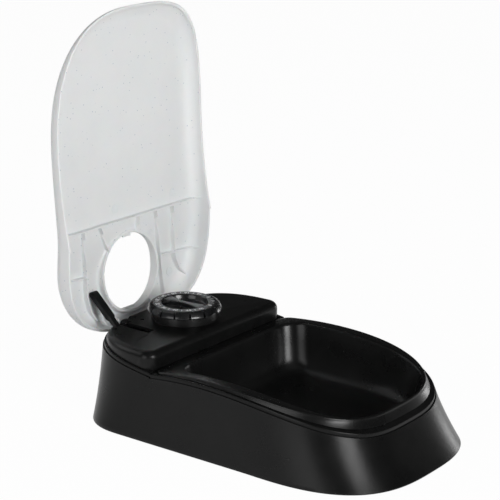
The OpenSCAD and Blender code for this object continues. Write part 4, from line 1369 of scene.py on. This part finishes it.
@dataclass
class TimerCover:
    """The cover over the timer: rounded deck, dial turret, arm slot and two peg holes."""

    shape: FeederShape
    half: float = 71.0
    rear: float = 115.8
    corner: float = 9.0
    power: float = 3.0
    wall: float = 2.2
    edge: float = 5.0
    skirt_least: float = 0.6
    inner_least: float = 0.7
    turret: float = 22.1
    turret_top: float = 63.9
    turret_bore: float = 7.0
    notch_half: float = 7.1
    notch_front: float = 5.0
    slot_front: float = 26.5
    ramp: float = 2.8
    ramp_depth: float = 0.9
    hinge_front: float = 9.0
    pegs: tuple[tuple[float, float], ...] = ((14.4, -7.8), (-11.4, -6.6))
    peg_radius: float = 1.5
    peg_depth: float = 6.0

    def loop(self, inset: float) -> np.ndarray:
        """Outline with two round front corners and a superelliptic back.

        Args:
            inset: How far it is drawn in.

        Returns:
            Points as rows of x and y.
        """
        front = self.shape.cover_front_y
        turn = np.radians(np.linspace(180.0, 270.0, 15))
        left = circle(self.corner - inset, turn, (self.corner - self.half, front + self.corner))
        right = left[::-1] * np.array([-1.0, 1.0])
        across = straight(left[-1], right[0], 31)
        reach = self.rear - front - inset
        back = superellipse_arc(front, self.half - inset, reach, self.power, 4.0, 176.0, 170)
        return np.concatenate([left, across, right, back])

    def edge_at(self, y: np.ndarray) -> np.ndarray:
        """Rounding of the deck's edge, less where the ledge is near."""
        return np.minimum(self.edge, self.shape.cover_top - self.shape.ledge_z(y) - self.skirt_least)

    def outer(self, inset: float) -> np.ndarray:
        """Ring of the outside: the deck less the drop of its rounded edge.

        Args:
            inset: How far the ring is drawn in.

        Returns:
            The ring.
        """
        plan = self.loop(inset)
        edge = self.edge_at(plan[:, 1])
        return lifted(plan, self.shape.cover_top - round_drop(inset, edge, edge))

    def inner(self, inset: float) -> np.ndarray:
        """Ring of the inside, a wall below and within, its drop held clear of the ledge.

        Args:
            inset: How far the ring is drawn in from the inner wall.

        Returns:
            The ring.
        """
        plan = self.loop(self.wall + inset)
        radius = self.edge_at(plan[:, 1])
        under = self.shape.cover_top - self.wall
        most = under - self.shape.ledge_z(plan[:, 1]) - self.inner_least
        return lifted(plan, under - round_drop(inset, radius, np.minimum(radius - self.wall + 1, most)))

    def rings(self) -> list[np.ndarray]:
        """Rings from the deck's underside, out, down the skirt and over the rounded edge.

        Returns:
            The rings of the skin, from the underside's middle to the deck's.
        """
        ledge = self.shape.ledge_z
        insets = self.edge * (1 - np.cos(np.radians(np.linspace(0.0, 90.0, 9))))
        rings = [self.inner(inset) for inset in insets[::-2]]
        for inset, gap in ((self.wall, 0.1), (0.15, 0.1), (0.0, 0.25)):
            plan = self.loop(inset)
            rings.append(lifted(plan, ledge(plan[:, 1]) + gap))
        return rings + [self.outer(inset) for inset in insets]

    def tools(self) -> list[bpy.types.Object]:
        """Shapes that cut the arm's slot with its ramp, the hinge lugs' notches and the peg holes.

        Returns:
            The shapes.
        """
        shape, top, x, y = self.shape, self.shape.cover_top, self.shape.arm_x, self.shape.arm_y
        foot, high, rear = shape.cut_foot, shape.cut_top, shape.cut_rear
        half, slot = shape.arm_slot_half, y - self.slot_front
        ramp = [(slot + 0.1, top - self.ramp_depth), (slot + 0.1, top + 1), (slot - self.ramp, top + 1),
                (slot - self.ramp, top + 0.05)]
        low, wide = (x - self.notch_half, y - self.notch_front, foot - 1), x + self.notch_half
        tools = [box_tool((x - half, slot, foot), (x + half, rear, high))]
        tools.append(box_tool(low, (wide, rear + 1, high + 1)))
        for dx, dy in self.pegs:
            tools.append(round_tool(x + dx, y + dy, top - self.peg_depth, top + 2, self.peg_radius))
        tools.append(Surface().add_rings(prism_x(ramp, x - half, x + half)).build("tool"))
        for middle in (side * shape.lug_x for side in SIDES):
            low = (middle - shape.lug_notch, shape.hinge_y - self.hinge_front, foot)
            tools.append(box_tool(low, (middle + shape.lug_notch, rear, high)))
        return tools

    def turret_rings(self) -> list[np.ndarray]:
        """Rings of the dial's turret: a small cove on the deck, an upright wall and a rounded rim.

        Returns:
            Rings from just under the deck to the spindle's bore.
        """
        deck, wide, top = self.shape.cover_top, self.turret, self.turret_top
        profile = [(wide + 0.9, deck - 0.3), (wide + 0.9, deck + 0.02), (wide + 0.35, deck + 0.12),
                   (wide + 0.08, deck + 0.4), (wide, deck + 0.9), (wide, top - 0.5),
                   (wide - 0.15, top - 0.15), (wide - 0.5, top), (self.turret_bore, top)]
        return lathe(profile, (0.0, self.shape.dial_y), 160)

    def build(self, finisher: Finisher) -> bpy.types.Object:
        """Makes, carves and dresses the cover.

        Args:
            finisher: Maker of the finishes.

        Returns:
            The piece.
        """
        piece = Surface().add_rings(self.rings()).build("timer_cover_moulding")
        carve(piece, self.tools(), 30.0)
        join(piece, Surface().add_rings(self.turret_rings()), 30.0)
        finisher.dress(piece, "black_shell")
        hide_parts("timer_cover")
        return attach(piece, "base")


@dataclass
class TimerDial:
    """The dial: grooved grip skirt, numbered ring, cup and a waisted grip bar."""

    shape: FeederShape
    skirt: float = 25.5
    skirt_drop: float = 5.1
    ring: float = 22.2
    cup: float = 16.0
    cup_depth: float = 3.6
    grooves: int = 15
    groove_half: float = 0.5
    notch: float = 10.4
    hub: float = 5.5
    hub_drop: float = 3.4
    grip_drop: float = 0.3
    grip_end: float = 4.2
    waist_radius: float = 36.0
    waist_centre: float = 37.9
    columns: int = 720
    hours: int = 48
    first_turn: float = -75.0
    sweep: float = 330.0
    figure_radius: float = 19.2
    figure_size: float = 3.9

    def hour_turn(self, hour: int) -> float:
        """Angle of an hour round the dial, in radians."""
        return math.radians(self.first_turn + self.sweep * hour / self.hours)

    def limit(self, turn: np.ndarray, z: float) -> np.ndarray:
        """Largest radius at each angle: the grooves' floors, and the flat of the notch at the front.

        Args:
            turn: Angles in radians.
            z: Height of the ring of points.

        Returns:
            The largest radius at each angle.
        """
        limit = np.full(len(turn), np.inf)
        if z < self.shape.dial_top - 0.7:
            step = 2 * np.pi / self.grooves
            away = np.abs((turn / step) % 1.0 - 0.5) * step * self.skirt
            limit = np.where(away < self.groove_half, self.ring + 0.9, limit)
        front = (turn + np.pi / 2 + np.pi) % (2 * np.pi) - np.pi
        flat = (self.ring - 0.15) / np.maximum(np.cos(front), 0.2)
        inside = np.abs(np.sin(front) * self.skirt) < self.notch / 2
        return np.where(inside & (np.abs(front) < 1.0), np.minimum(limit, flat), limit)

    def rings(self) -> list[np.ndarray]:
        """Rings of the turned shape: hub, skirt's underside, skirt, ring, cup's wall and cup's floor.

        The radius at each angle is the profile's, but no more than the limit there.

        Returns:
            Rings from the hub's foot to the cup's floor.
        """
        top, low = self.shape.dial_top, self.shape.dial_top - self.skirt_drop
        skirt, ring, cup, floor = self.skirt, self.ring, self.cup, top - self.cup_depth
        corners = [(self.hub, low - self.hub_drop), (self.hub, low), (skirt, low), (skirt, low + 0.9),
                   (skirt - 0.3, low + 1.8), (skirt - 0.9, low + 2.9), (skirt - 1.6, low + 4.0),
                   (ring + 0.5, top - 0.3), (ring - 0.2, top),
                   (cup + 0.5, top), (cup, top - 0.5), (cup - 1.0, floor), (0.6, floor)]
        bends = [0.0, 0.35, 0.4, 0.4, 0.4, 0.4, 0.4, 0.25, 0.35, 0.35, 0.9]
        turn = round_angles(self.columns)
        rings = []
        for radius, z in rounded(corners, bends, 4):
            if radius > ring - 0.1:
                radius = np.minimum(radius, self.limit(turn, z))
            rings.append(lifted(circle(radius, turn, (0.0, self.shape.dial_y)), z))
        return rings

    def grip(self) -> Surface:
        """The grip bar: half its width is its end width less what two large circles take off.

        Returns:
            The bar, with rounded upper edges.
        """
        top = self.shape.dial_top - self.grip_drop
        foot = top - self.cup_depth
        y = np.linspace(-self.cup + 0.35, self.cup - 0.35, 61)
        half = np.minimum(self.waist_centre - np.sqrt(self.waist_radius**2 - y**2), self.grip_end)
        levels = ((foot, -0.35), (top - 3.1, 0.0), (top - 0.7, 0.0), (top - 0.3, 0.12),
                  (top - 0.08, 0.35), (top, 0.75))
        rings = []
        for z, inset in levels:
            wide, along = np.maximum(half - inset, 0.12), y * (1 - max(inset, 0) * 0.02)
            plan = np.vstack([np.column_stack([wide, along]), np.column_stack([-wide, along])[::-1]])
            rings.append(lifted(plan + np.array([0.0, self.shape.dial_y]), z))
        return Surface().add_rings(rings)

    def ticks(self) -> Surface:
        """Ticks halfway between the figures, as thin bars that point at the axis.

        Returns:
            The ticks.
        """
        marks = Surface()
        bar = np.array([[18.1, -0.2], [20.4, -0.2], [20.4, 0.2], [18.1, 0.2]])
        for hour in range(2, self.hours, 4):
            cos, sin = math.cos(self.hour_turn(hour)), math.sin(self.hour_turn(hour))
            plan = bar @ np.array([[cos, sin], [-sin, cos]]) + np.array([0.0, self.shape.dial_y])
            marks.add_rings([lifted(plan, self.shape.dial_top + rise) for rise in (-0.05, 0.03)])
        return marks

    def figures(self) -> bpy.types.Object:
        """The hours 0, 4, 8 and so on to 48 round the ring, as thin raised figures.

        Returns:
            One mesh object with all of them and the ticks.
        """
        piece = self.ticks().build("dial_figures")
        mesh = bmesh.new()
        mesh.from_mesh(piece.data)
        graph = bpy.context.evaluated_depsgraph_get()
        for hour in range(0, self.hours + 1, 4):
            curve = bpy.data.curves.new("figure", "FONT")
            curve.body, curve.size = str(hour), self.figure_size * MM
            curve.extrude = curve.offset = 0.05 * MM
            curve.align_x, curve.align_y = "CENTER", "CENTER"
            text = bpy.data.objects.new("figure", curve)
            bpy.context.scene.collection.objects.link(text)
            bpy.context.view_layer.update()
            flat = bpy.data.meshes.new_from_object(text.evaluated_get(graph))
            turn, radius = self.hour_turn(hour), self.figure_radius
            x, y = radius * math.cos(turn), self.shape.dial_y + radius * math.sin(turn)
            place = Matrix.Translation((x * MM, y * MM, (self.shape.dial_top - 0.02) * MM))
            flat.transform(place @ Matrix.Rotation(turn + math.pi / 2, 4, "Z"))
            mesh.from_mesh(flat)
            bpy.data.objects.remove(text)
            bpy.data.meshes.remove(flat)
        mesh.to_mesh(piece.data)
        mesh.free()
        return piece

    def build(self, finisher: Finisher) -> bpy.types.Object:
        """Makes and dresses the knob and its figures.

        Args:
            finisher: Maker of the finishes.

        Returns:
            The knob.
        """
        knob = Surface().add_rings(self.rings()).build("dial_turned", 28.0)
        join(knob, self.grip(), 28.0)
        finisher.dress(knob, "gloss_black")
        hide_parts("dial_knob")
        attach(knob, "dial")
        figures = self.figures()
        finisher.dress(figures, "white_ink")
        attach(figures, "dial")
        LOG.info("piece %s", figures.name)
        return knob


@dataclass
class Lid:
    """The lid, worked out closed and then turned open: plate, fillet, skirt, collar, ribs, tab and lugs."""

    shape: FeederShape
    half: float = 73.4
    reach: float = 104.5
    wall: float = 2.2
    skirt: float = 1.8
    fillet: float = 10.0
    front_z: float = 61.8
    top_z: float = 67.1
    level_from: float = 12.0
    droop: float = 20.3
    droop_power: float = 2.7
    rise_from: float = 40.0
    rise_length: float = 45.0
    rim_overlap: float = 1.5
    base_gap: float = 0.5
    hole: float = 27.2
    collar_wall: float = 2.0
    collar_z: float = 60.2
    rib_wall: float = 1.2
    rib_depth: float = 3.6
    rib_step: float = 1.5
    rib_over_cover: float = 1.0
    lug_half: float = 3.0
    lug_eye: float = 2.9
    tab_half: float = 3.85
    tab_tip: float = 24.6
    tab_z: tuple[float, float] = (62.0, 63.9)
    ribs: tuple[tuple[tuple[float, float], ...], ...] = (
        ((-72.3, 43.0), (72.3, 43.0)),
        ((-47.0, 43.0), (-43.6, 76.0), (-43.4, 92.0), (-41.0, 101.0), (-36.0, 108.0)),
        ((27.0, 43.0), (33.0, 78.0), (35.0, 106.0)),
        ((45.0, 43.0), (48.0, 70.0), (49.6, 84.0), (53.4, 92.0), (60.0, 98.5)),
        ((-71.0, 76.0), (-43.4, 76.0)),
        ((33.0, 78.0), (69.6, 80.0)),
        ((-31.0, 43.0), (-21.0, 63.0)),
        ((9.0, 43.0), (8.0, 54.4)),
    )
    pin_marks: tuple[tuple[float, float, float], ...] = (
        (-12.6, 34.5, 3.2), (47.9, 34.7, 3.2), (-50.2, 92.5, 3.2), (45.1, 92.8, 3.2),
        (-44.2, 49.4, 2.6), (23.9, 58.9, 2.6), (18.6, 106.4, 2.2), (-29.3, 103.6, 2.2),
    )

    def z(self, y: np.ndarray) -> np.ndarray:
        """Height of the outer face: level over the bowl, drooping to the front, rising over the timer.

        The droop grows as a power of the distance before the level part; the rise is a smooth step.

        Args:
            y: Where, as one or more numbers.

        Returns:
            The height at each y.
        """
        y = np.asarray(y, float)
        ahead = np.maximum(self.level_from - y, 0.0) / (self.shape.top_front + self.level_from)
        rise = mix(self.front_z, self.top_z, smooth_step((y - self.rise_from) / self.rise_length))
        return np.where(y < self.level_from, self.front_z - self.droop * ahead**self.droop_power, rise)

    def edge_z(self, y: np.ndarray) -> np.ndarray:
        """Height of the skirt's lower edge: just under the rim's top, and clear of the base."""
        return np.maximum(self.shape.rim_z(y) - self.rim_overlap, self.shape.base_top_z(y) + self.base_gap)

    def under_z(self, y: np.ndarray) -> np.ndarray:
        """Height of the plate's inner face."""
        return self.z(y) - self.wall

    def loop(self, inset: float) -> np.ndarray:
        """Outline of the lid, drawn in by inset."""
        return self.shape.top_loop(inset, self.reach, self.half)

    def outer(self, inset: float, y: np.ndarray) -> np.ndarray:
        """Outer face at an inset from the side: the plate's height less the fillet's drop."""
        drop = np.minimum(self.fillet, self.z(y) - self.edge_z(y) - 1.0)
        return self.z(y) - round_drop(inset, self.fillet, drop)

    def inner(self, inset: np.ndarray | float, y: np.ndarray) -> np.ndarray:
        """Inner face at an inset from the skirt's inside: the plate's less the inner fillet's drop.

        Args:
            inset: One inset, or one for each y.
            y: Where.

        Returns:
            The height at each y.
        """
        radius = self.fillet - self.skirt
        drop = np.minimum(radius, self.under_z(y) - self.edge_z(y) - 0.5)
        return self.under_z(y) - round_drop(inset, radius, drop)

    def to_hole(self, radius: float, share: float) -> np.ndarray:
        """Moves the plate's outline towards the hole, each point straight to the circle at its angle.

        Args:
            radius: Radius of the circle.
            share: 0 keeps the outline, 1 gives the circle.

        Returns:
            The outline between the two.
        """
        plate = self.loop(self.fillet)
        turn = np.arctan2(plate[:, 1] - self.shape.dial_y, plate[:, 0])
        return mix(plate, circle(radius, turn, (0.0, self.shape.dial_y)), share)

    def collar_rings(self) -> list[np.ndarray]:
        """Rings down the collar's bore, round its edge and up to its coved root.

        Returns:
            The rings.
        """
        hole, root, mouth = self.hole, self.hole + self.collar_wall, self.collar_z
        rings = [lifted(self.to_hole(hole, 1.0), lambda y: self.z(y) - 0.4)]
        for radius, z in ((hole, mouth + 0.4), (hole + 0.3, mouth), (root - 0.3, mouth), (root, mouth + 0.4)):
            rings.append(lifted(self.to_hole(radius, 1.0), z))
        for grow, drop in ((0.0, 1.7), (0.25, 1.0), (0.7, 0.45), (1.4, 0.12), (2.4, 0.0)):
            plan = self.to_hole(root + grow, 1.0)
            rings.append(lifted(plan, np.maximum(self.under_z(plan[:, 1]) - drop, mouth + 0.5)))
        return rings

    def rings(self) -> list[np.ndarray]:
        """Rings up the outside, over the fillet and plate to the hole, down the collar and back inside.

        Returns:
            The rings of a closed loop.
        """
        bends = 1 - np.cos(np.radians(np.linspace(0.0, 90.0, 11)))
        shares = np.linspace(0.0, 1.0, 30)[1:]
        cove = self.hole + self.collar_wall + 2.4
        rings = [lifted(self.loop(0.35), self.edge_z)]
        rings.append(lifted(self.loop(0.0), lambda y: self.edge_z(y) + 0.35))
        for inset in self.fillet * bends:
            plan = self.loop(inset)
            rings.append(lifted(plan, self.outer(inset, plan[:, 1])))
        rings += [lifted(self.to_hole(self.hole + 0.5, share), self.z) for share in shares]
        rings += self.collar_rings()
        rings += [lifted(self.to_hole(cove, share), self.under_z) for share in shares[::-1][1:]]
        for inset in ((self.fillet - self.skirt) * bends)[::-1]:
            plan = self.loop(self.skirt + inset)
            rings.append(lifted(plan, self.inner(inset, plan[:, 1])))
        rings.append(lifted(self.loop(self.skirt), lambda y: self.edge_z(y) + 0.2))
        return rings + [lifted(self.loop(self.skirt - 0.25), self.edge_z)]

    def half_at(self, y: np.ndarray) -> np.ndarray:
        """Half width of the lid at a y: a superellipse of power 3 behind the timer cover's front."""
        front, rear = self.shape.cover_front_y, self.shape.top_rear
        return self.half * (1 - np.clip((y - front) / (rear - front), 0.0, 1.0) ** 3) ** (1 / 3)

    def under(self, x: np.ndarray, y: np.ndarray) -> np.ndarray:
        """Height of the inner face at any point, from its inset off the skirt's inside."""
        return self.inner(np.maximum(self.half_at(y) - np.abs(x) - self.skirt, 0.0), y)

    def rib(self, corners: Sequence[Sequence[float]]) -> list[np.ndarray]:
        """Rings of a rib under the plate: a narrow section with a coved root and a round edge.

        Args:
            corners: The rib's line, as x and y.

        Returns:
            One ring across the rib for each step along it.
        """
        path = stepped(np.asarray(corners, float), self.rib_step, 4)
        ahead = np.gradient(path, axis=0)
        ahead /= np.linalg.norm(ahead, axis=1)[:, None]
        across = np.stack([-ahead[:, 1], ahead[:, 0]], axis=1)
        y = path[:, 1]
        high = self.under(path[:, 0], y)
        plain = self.under_z(y) - self.rib_depth
        over_cover = np.maximum(plain, self.shape.cover_top + self.rib_over_cover)
        low = np.minimum(np.where(y < self.shape.cover_front_y - 2, plain, over_cover), high - 0.8)
        w = self.rib_wall / 2
        root = [(w + 0.6, 0.35), (w + 0.5, -0.02), (w + 0.2, -0.3), (w + 0.04, -0.8)]
        half = [(wide, np.maximum(high + rise, low + 0.35)) for wide, rise in root]
        half += [(w, low + 0.3), (w - 0.25, low)]
        section = [(-wide, z) for wide, z in half] + half[::-1]
        columns = [np.column_stack([path + across * offset, z]) for offset, z in section]
        return [ring[::-1] for ring in np.stack(columns, axis=1)]

    def pin_mark(self, x: float, y: float, radius: float) -> list[np.ndarray]:
        """Rings of a slightly proud round mark on the inner face.

        Args:
            x: Middle of the mark along X.
            y: Middle of the mark along Y.
            radius: Radius of the mark.

        Returns:
            Rings from its edge to its middle.
        """
        rings = []
        for r, rise in ((radius + 0.25, 0.3), (radius + 0.1, -0.22), (radius - 0.2, -0.3),
                        (radius - 0.45, -0.12), (0.4, -0.1)):
            plan = circle(r, -round_angles(36), (x, y))
            rings.append(lifted(plan, self.under(plan[:, 0], plan[:, 1]) + rise))
        return rings

    def add_lug(self, skin: Surface, x: float) -> None:
        """Adds a hinge lug: a plate from the hinge up into the lid's back, with a round eye.

        Args:
            skin: The lid so far.
            x: Middle of the lug.
        """
        y, z, back = self.shape.hinge_y, self.shape.hinge_z, self.shape.top_rear - 1.0
        outline = [(y - 1.0, z - 2.0), (y + 2.7, z - 0.6), (back - 0.8, z + 6.0)]
        for inset in (1.2, 3.0, 5.0, 8.0, 10.0):
            face = float(self.outer(inset, np.asarray(back - inset)))
            outline.append((back - inset, face - 1.1))
        outline.append((y - 6.0, z + 9.0))
        skin.add_rings(prism_x(outline, x - self.lug_half, x + self.lug_half))
        skin.add_rings(rod_x((x, y, z), self.lug_eye, 2 * self.lug_half))

    def build(self, finisher: Finisher) -> bpy.types.Object:
        """Makes and dresses the lid, and turns it open about its hinge.

        Args:
            finisher: Maker of the finishes.

        Returns:
            The piece.
        """
        shape = self.shape
        skin = Surface().add_rings(self.rings(), close=True)
        for line in self.ribs:
            skin.add_rings(self.rib(line))
        for mark in self.pin_marks:
            skin.add_rings(self.pin_mark(*mark))
        for side in SIDES[::-1]:
            self.add_lug(skin, side * shape.lug_x)
        low = (-self.tab_half, shape.dial_y - self.hole - 1.0, self.tab_z[0])
        high = (self.tab_half, shape.dial_y - self.tab_tip, self.tab_z[1])
        skin.add_rings(block(low, high, 0.35))
        skin.turned(turn_about_x(-shape.open_angle), (0.0, shape.hinge_y, shape.hinge_z))
        piece = skin.build("lid_moulding", 34.0)
        finisher.dress(piece, "speckled_grey")
        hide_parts("lid")
        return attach(piece, "lid")


@dataclass
class LiftArm:
    """The arm that holds the lid up: an eye, a thin neck and a grooved bar with a round tip."""

    shape: FeederShape
    z: float = 52.6
    half: float = 3.0
    thick: float = 2.2
    neck_half: float = 2.2
    neck_thick: float = 1.5
    length: float = 31.0
    neck: float = 11.0
    lean: float = 42.0
    power: float = 0.28
    groove_half: float = 0.95
    groove_depth: float = 1.0

    def steps(self) -> list[tuple[float, float, float]]:
        """Place along the arm, half width and half thickness of each ring.

        Returns:
            One row for each ring, from the eye to the tip.
        """
        half, thick, neck, length = self.half, self.thick, self.neck, self.length
        steps = [(along, self.neck_half, self.neck_thick) for along in (0.0, 2.8)]
        steps += [(neck - 1.6, 2.3, 1.55), (neck - 0.5, 2.7, 1.9)]
        bar = (neck + 0.4, neck + 2.2, neck + 2.8, length - 2.4, length - 1.8)
        steps += [(along, half, thick) for along in bar]
        for a in np.radians([0, 20, 40, 58, 74, 88]):
            across, up = half - 0.35 * (1 - math.cos(a)), thick * math.cos(a) + 0.05
            steps.append((length + thick * math.sin(a), across, up))
        return steps

    def rings(self) -> list[np.ndarray]:
        """Rings across the arm: rounded rectangles, with a groove along the top of the bar.

        Returns:
            Rings from the eye to the tip.
        """
        turn = np.radians(np.arange(0, 360, 10) + 5.0)
        rings = []
        for along, half, thick in self.steps():
            across = half * signed_power(np.cos(turn), self.power)
            up = thick * signed_power(np.sin(turn), self.power)
            if self.neck + 2.5 < along < self.length - 2.0:
                up = np.where((np.abs(across) < self.groove_half) & (up > 0), thick - self.groove_depth, up)
            rings.append(np.column_stack([across, np.full(len(turn), along), up])[::-1])
        return rings

    def build(self, finisher: Finisher) -> bpy.types.Object:
        """Makes the arm along Y, leans it, moves it to its pin and dresses it.

        Args:
            finisher: Maker of the finishes.

        Returns:
            The piece.
        """
        pivot = (0.0, 0.0, 0.0)
        bar = Surface().add_rings(self.rings()).add_rings(rod_x(pivot, self.half, 2 * self.half))
        bar.turned(turn_about_x(self.lean), pivot).moved((self.shape.arm_x, self.shape.arm_y, self.z))
        piece = bar.build("lift_arm_bar", 38.0)
        finisher.dress(piece, "arm_black")
        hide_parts("lift_arm")
        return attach(piece, "lift_arm")


# --------------------------------------------------------------------------- stage


@dataclass(frozen=True)
class Lamp:
    """A soft square lamp aimed at the feeder: its place and side in metres, its power in watts."""

    name: str
    place: tuple[float, float, float]
    side: float
    power: float
    aim: tuple[float, float, float] = (0.0, 0.03, 0.06)

    def build(self) -> None:
        """Makes the lamp and turns it to its aim."""
        data = bpy.data.lights.new(self.name, "AREA")
        data.shape, data.size, data.energy = "SQUARE", self.side, self.power
        lamp = bpy.data.objects.new(self.name, data)
        turn = (Vector(self.aim) - Vector(self.place)).to_track_quat("-Z", "Y").to_matrix().to_4x4()
        lamp.matrix_world = Matrix.Translation(Vector(self.place)) @ turn
        bpy.context.scene.collection.objects.link(lamp)


@dataclass
class Studio:
    """Floor, soft lamps and the camera, in metres and degrees."""

    place: tuple[float, float, float] = (-0.82614, -0.60853, 0.42856)
    azimuth: float = -52.06
    elevation: float = 16.91
    roll: float = 0.50
    lens: float = 119.67
    shift: tuple[float, float] = (0.0235, 0.0137)
    sky: float = 0.05
    floor_half: float = 8.0
    floor_white: float = 0.975
    lamps: tuple[Lamp, ...] = (
        Lamp("key", (-0.43, -1.27, 0.53), 0.56, 14.8),
        Lamp("right", (1.4, -0.33, 0.10), 0.32, 2.4),
        Lamp("left", (-1.5, 0.05, 0.42), 0.9, 7.5),
        Lamp("top", (-0.2, -0.6, 1.6), 1.2, 1.0),
        Lamp("rear", (-0.7, 1.5, 0.9), 1.0, 6.0),
    )

    def camera(self) -> None:
        """Places the camera: its back axis comes from azimuth and elevation, then it rolls."""
        az, el, roll = (math.radians(v) for v in (self.azimuth, self.elevation, self.roll))
        back = Vector((math.sin(az) * math.cos(el), -math.cos(az) * math.cos(el), math.sin(el)))
        right = Vector((0.0, 0.0, 1.0)).cross(back).normalized()
        up = back.cross(right)
        across = right * math.cos(roll) + up * math.sin(roll)
        over = up * math.cos(roll) - right * math.sin(roll)
        data = bpy.data.cameras.new("camera")
        data.lens, data.sensor_width = self.lens, 36.0
        data.shift_x, data.shift_y = self.shift
        data.clip_start, data.clip_end = 0.05, 20.0
        camera = bpy.data.objects.new("camera", data)
        turn = Matrix((across, over, back)).transposed().to_4x4()
        camera.matrix_world = Matrix.Translation(Vector(self.place)) @ turn
        bpy.context.scene.collection.objects.link(camera)
        bpy.context.scene.camera = camera

    def white(self, name: str, share: float) -> bpy.types.Material:
        """White paper that keeps shadows and reads as white to the camera and in reflections.

        Args:
            name: Name of the material.
            share: How much of it is plain white rather than lit.

        Returns:
            The material.
        """
        paint = Paint(name)
        paint.feed(Base_Color=(0.9, 0.9, 0.9), Roughness=0.9, Specular_IOR_Level=0.0)
        tree = paint.tree
        rays = add_node(tree, "LightPath").outputs
        seen = maths(tree, "MAXIMUM", rays["Is Camera Ray"], rays["Is Glossy Ray"])
        either = maths(tree, "MAXIMUM", seen, rays["Is Transmission Ray"])
        part = maths(tree, "MULTIPLY", either, share)
        glow = add_node(tree, "Emission", Strength=1.0)
        mixer = add_node(tree, "MixShader")
        for source, target in zip((part, paint.shader.outputs[0], glow.outputs[0]), mixer.inputs):
            supply(tree, source, target)
        supply(tree, mixer.outputs[0], tree.nodes["Material Output"].inputs["Surface"])
        return paint.material

    def world(self) -> None:
        """A dim even sky, which the floor hides from the camera."""
        world = bpy.data.worlds.new("sky")
        world.use_nodes = True
        bpy.context.scene.world = world
        sky = world.node_tree.nodes["Background"]
        sky.inputs["Color"].default_value = (1.0, 1.0, 1.0, 1.0)
        sky.inputs["Strength"].default_value = self.sky

    def build(self) -> None:
        """Makes the floor, the lamps, the sky and the camera."""
        corners = np.array([(-1, -1), (1, -1), (1, 1), (-1, 1)]) * self.floor_half / MM
        floor = Surface().add(lifted(corners, -0.02), [(0, 1, 2, 3)]).build("floor")
        floor.data.materials.append(self.white("floor_paper", self.floor_white))
        for lamp in self.lamps:
            lamp.build()
        self.world()
        self.camera()
        bpy.context.scene.view_settings.view_transform = "Standard"


def main() -> None:
    """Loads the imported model, dresses its nodes and builds the finer pieces."""
    logging.basicConfig(level=logging.INFO, format="%(message)s")
    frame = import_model()
    finisher = Finisher(frame["nodes"])
    for node, finish in NODE_FINISHES.items():
        finisher.node(node, finish)
    shape = FeederShape()
    for part in (BaseShell, BowlTray, TimerCover, TimerDial, Lid, LiftArm):
        piece = part(shape).build(finisher)
        LOG.info("piece %s: %d points", piece.name, len(piece.data.vertices))
    Studio().build()


if __name__ == "__main__":
    main()
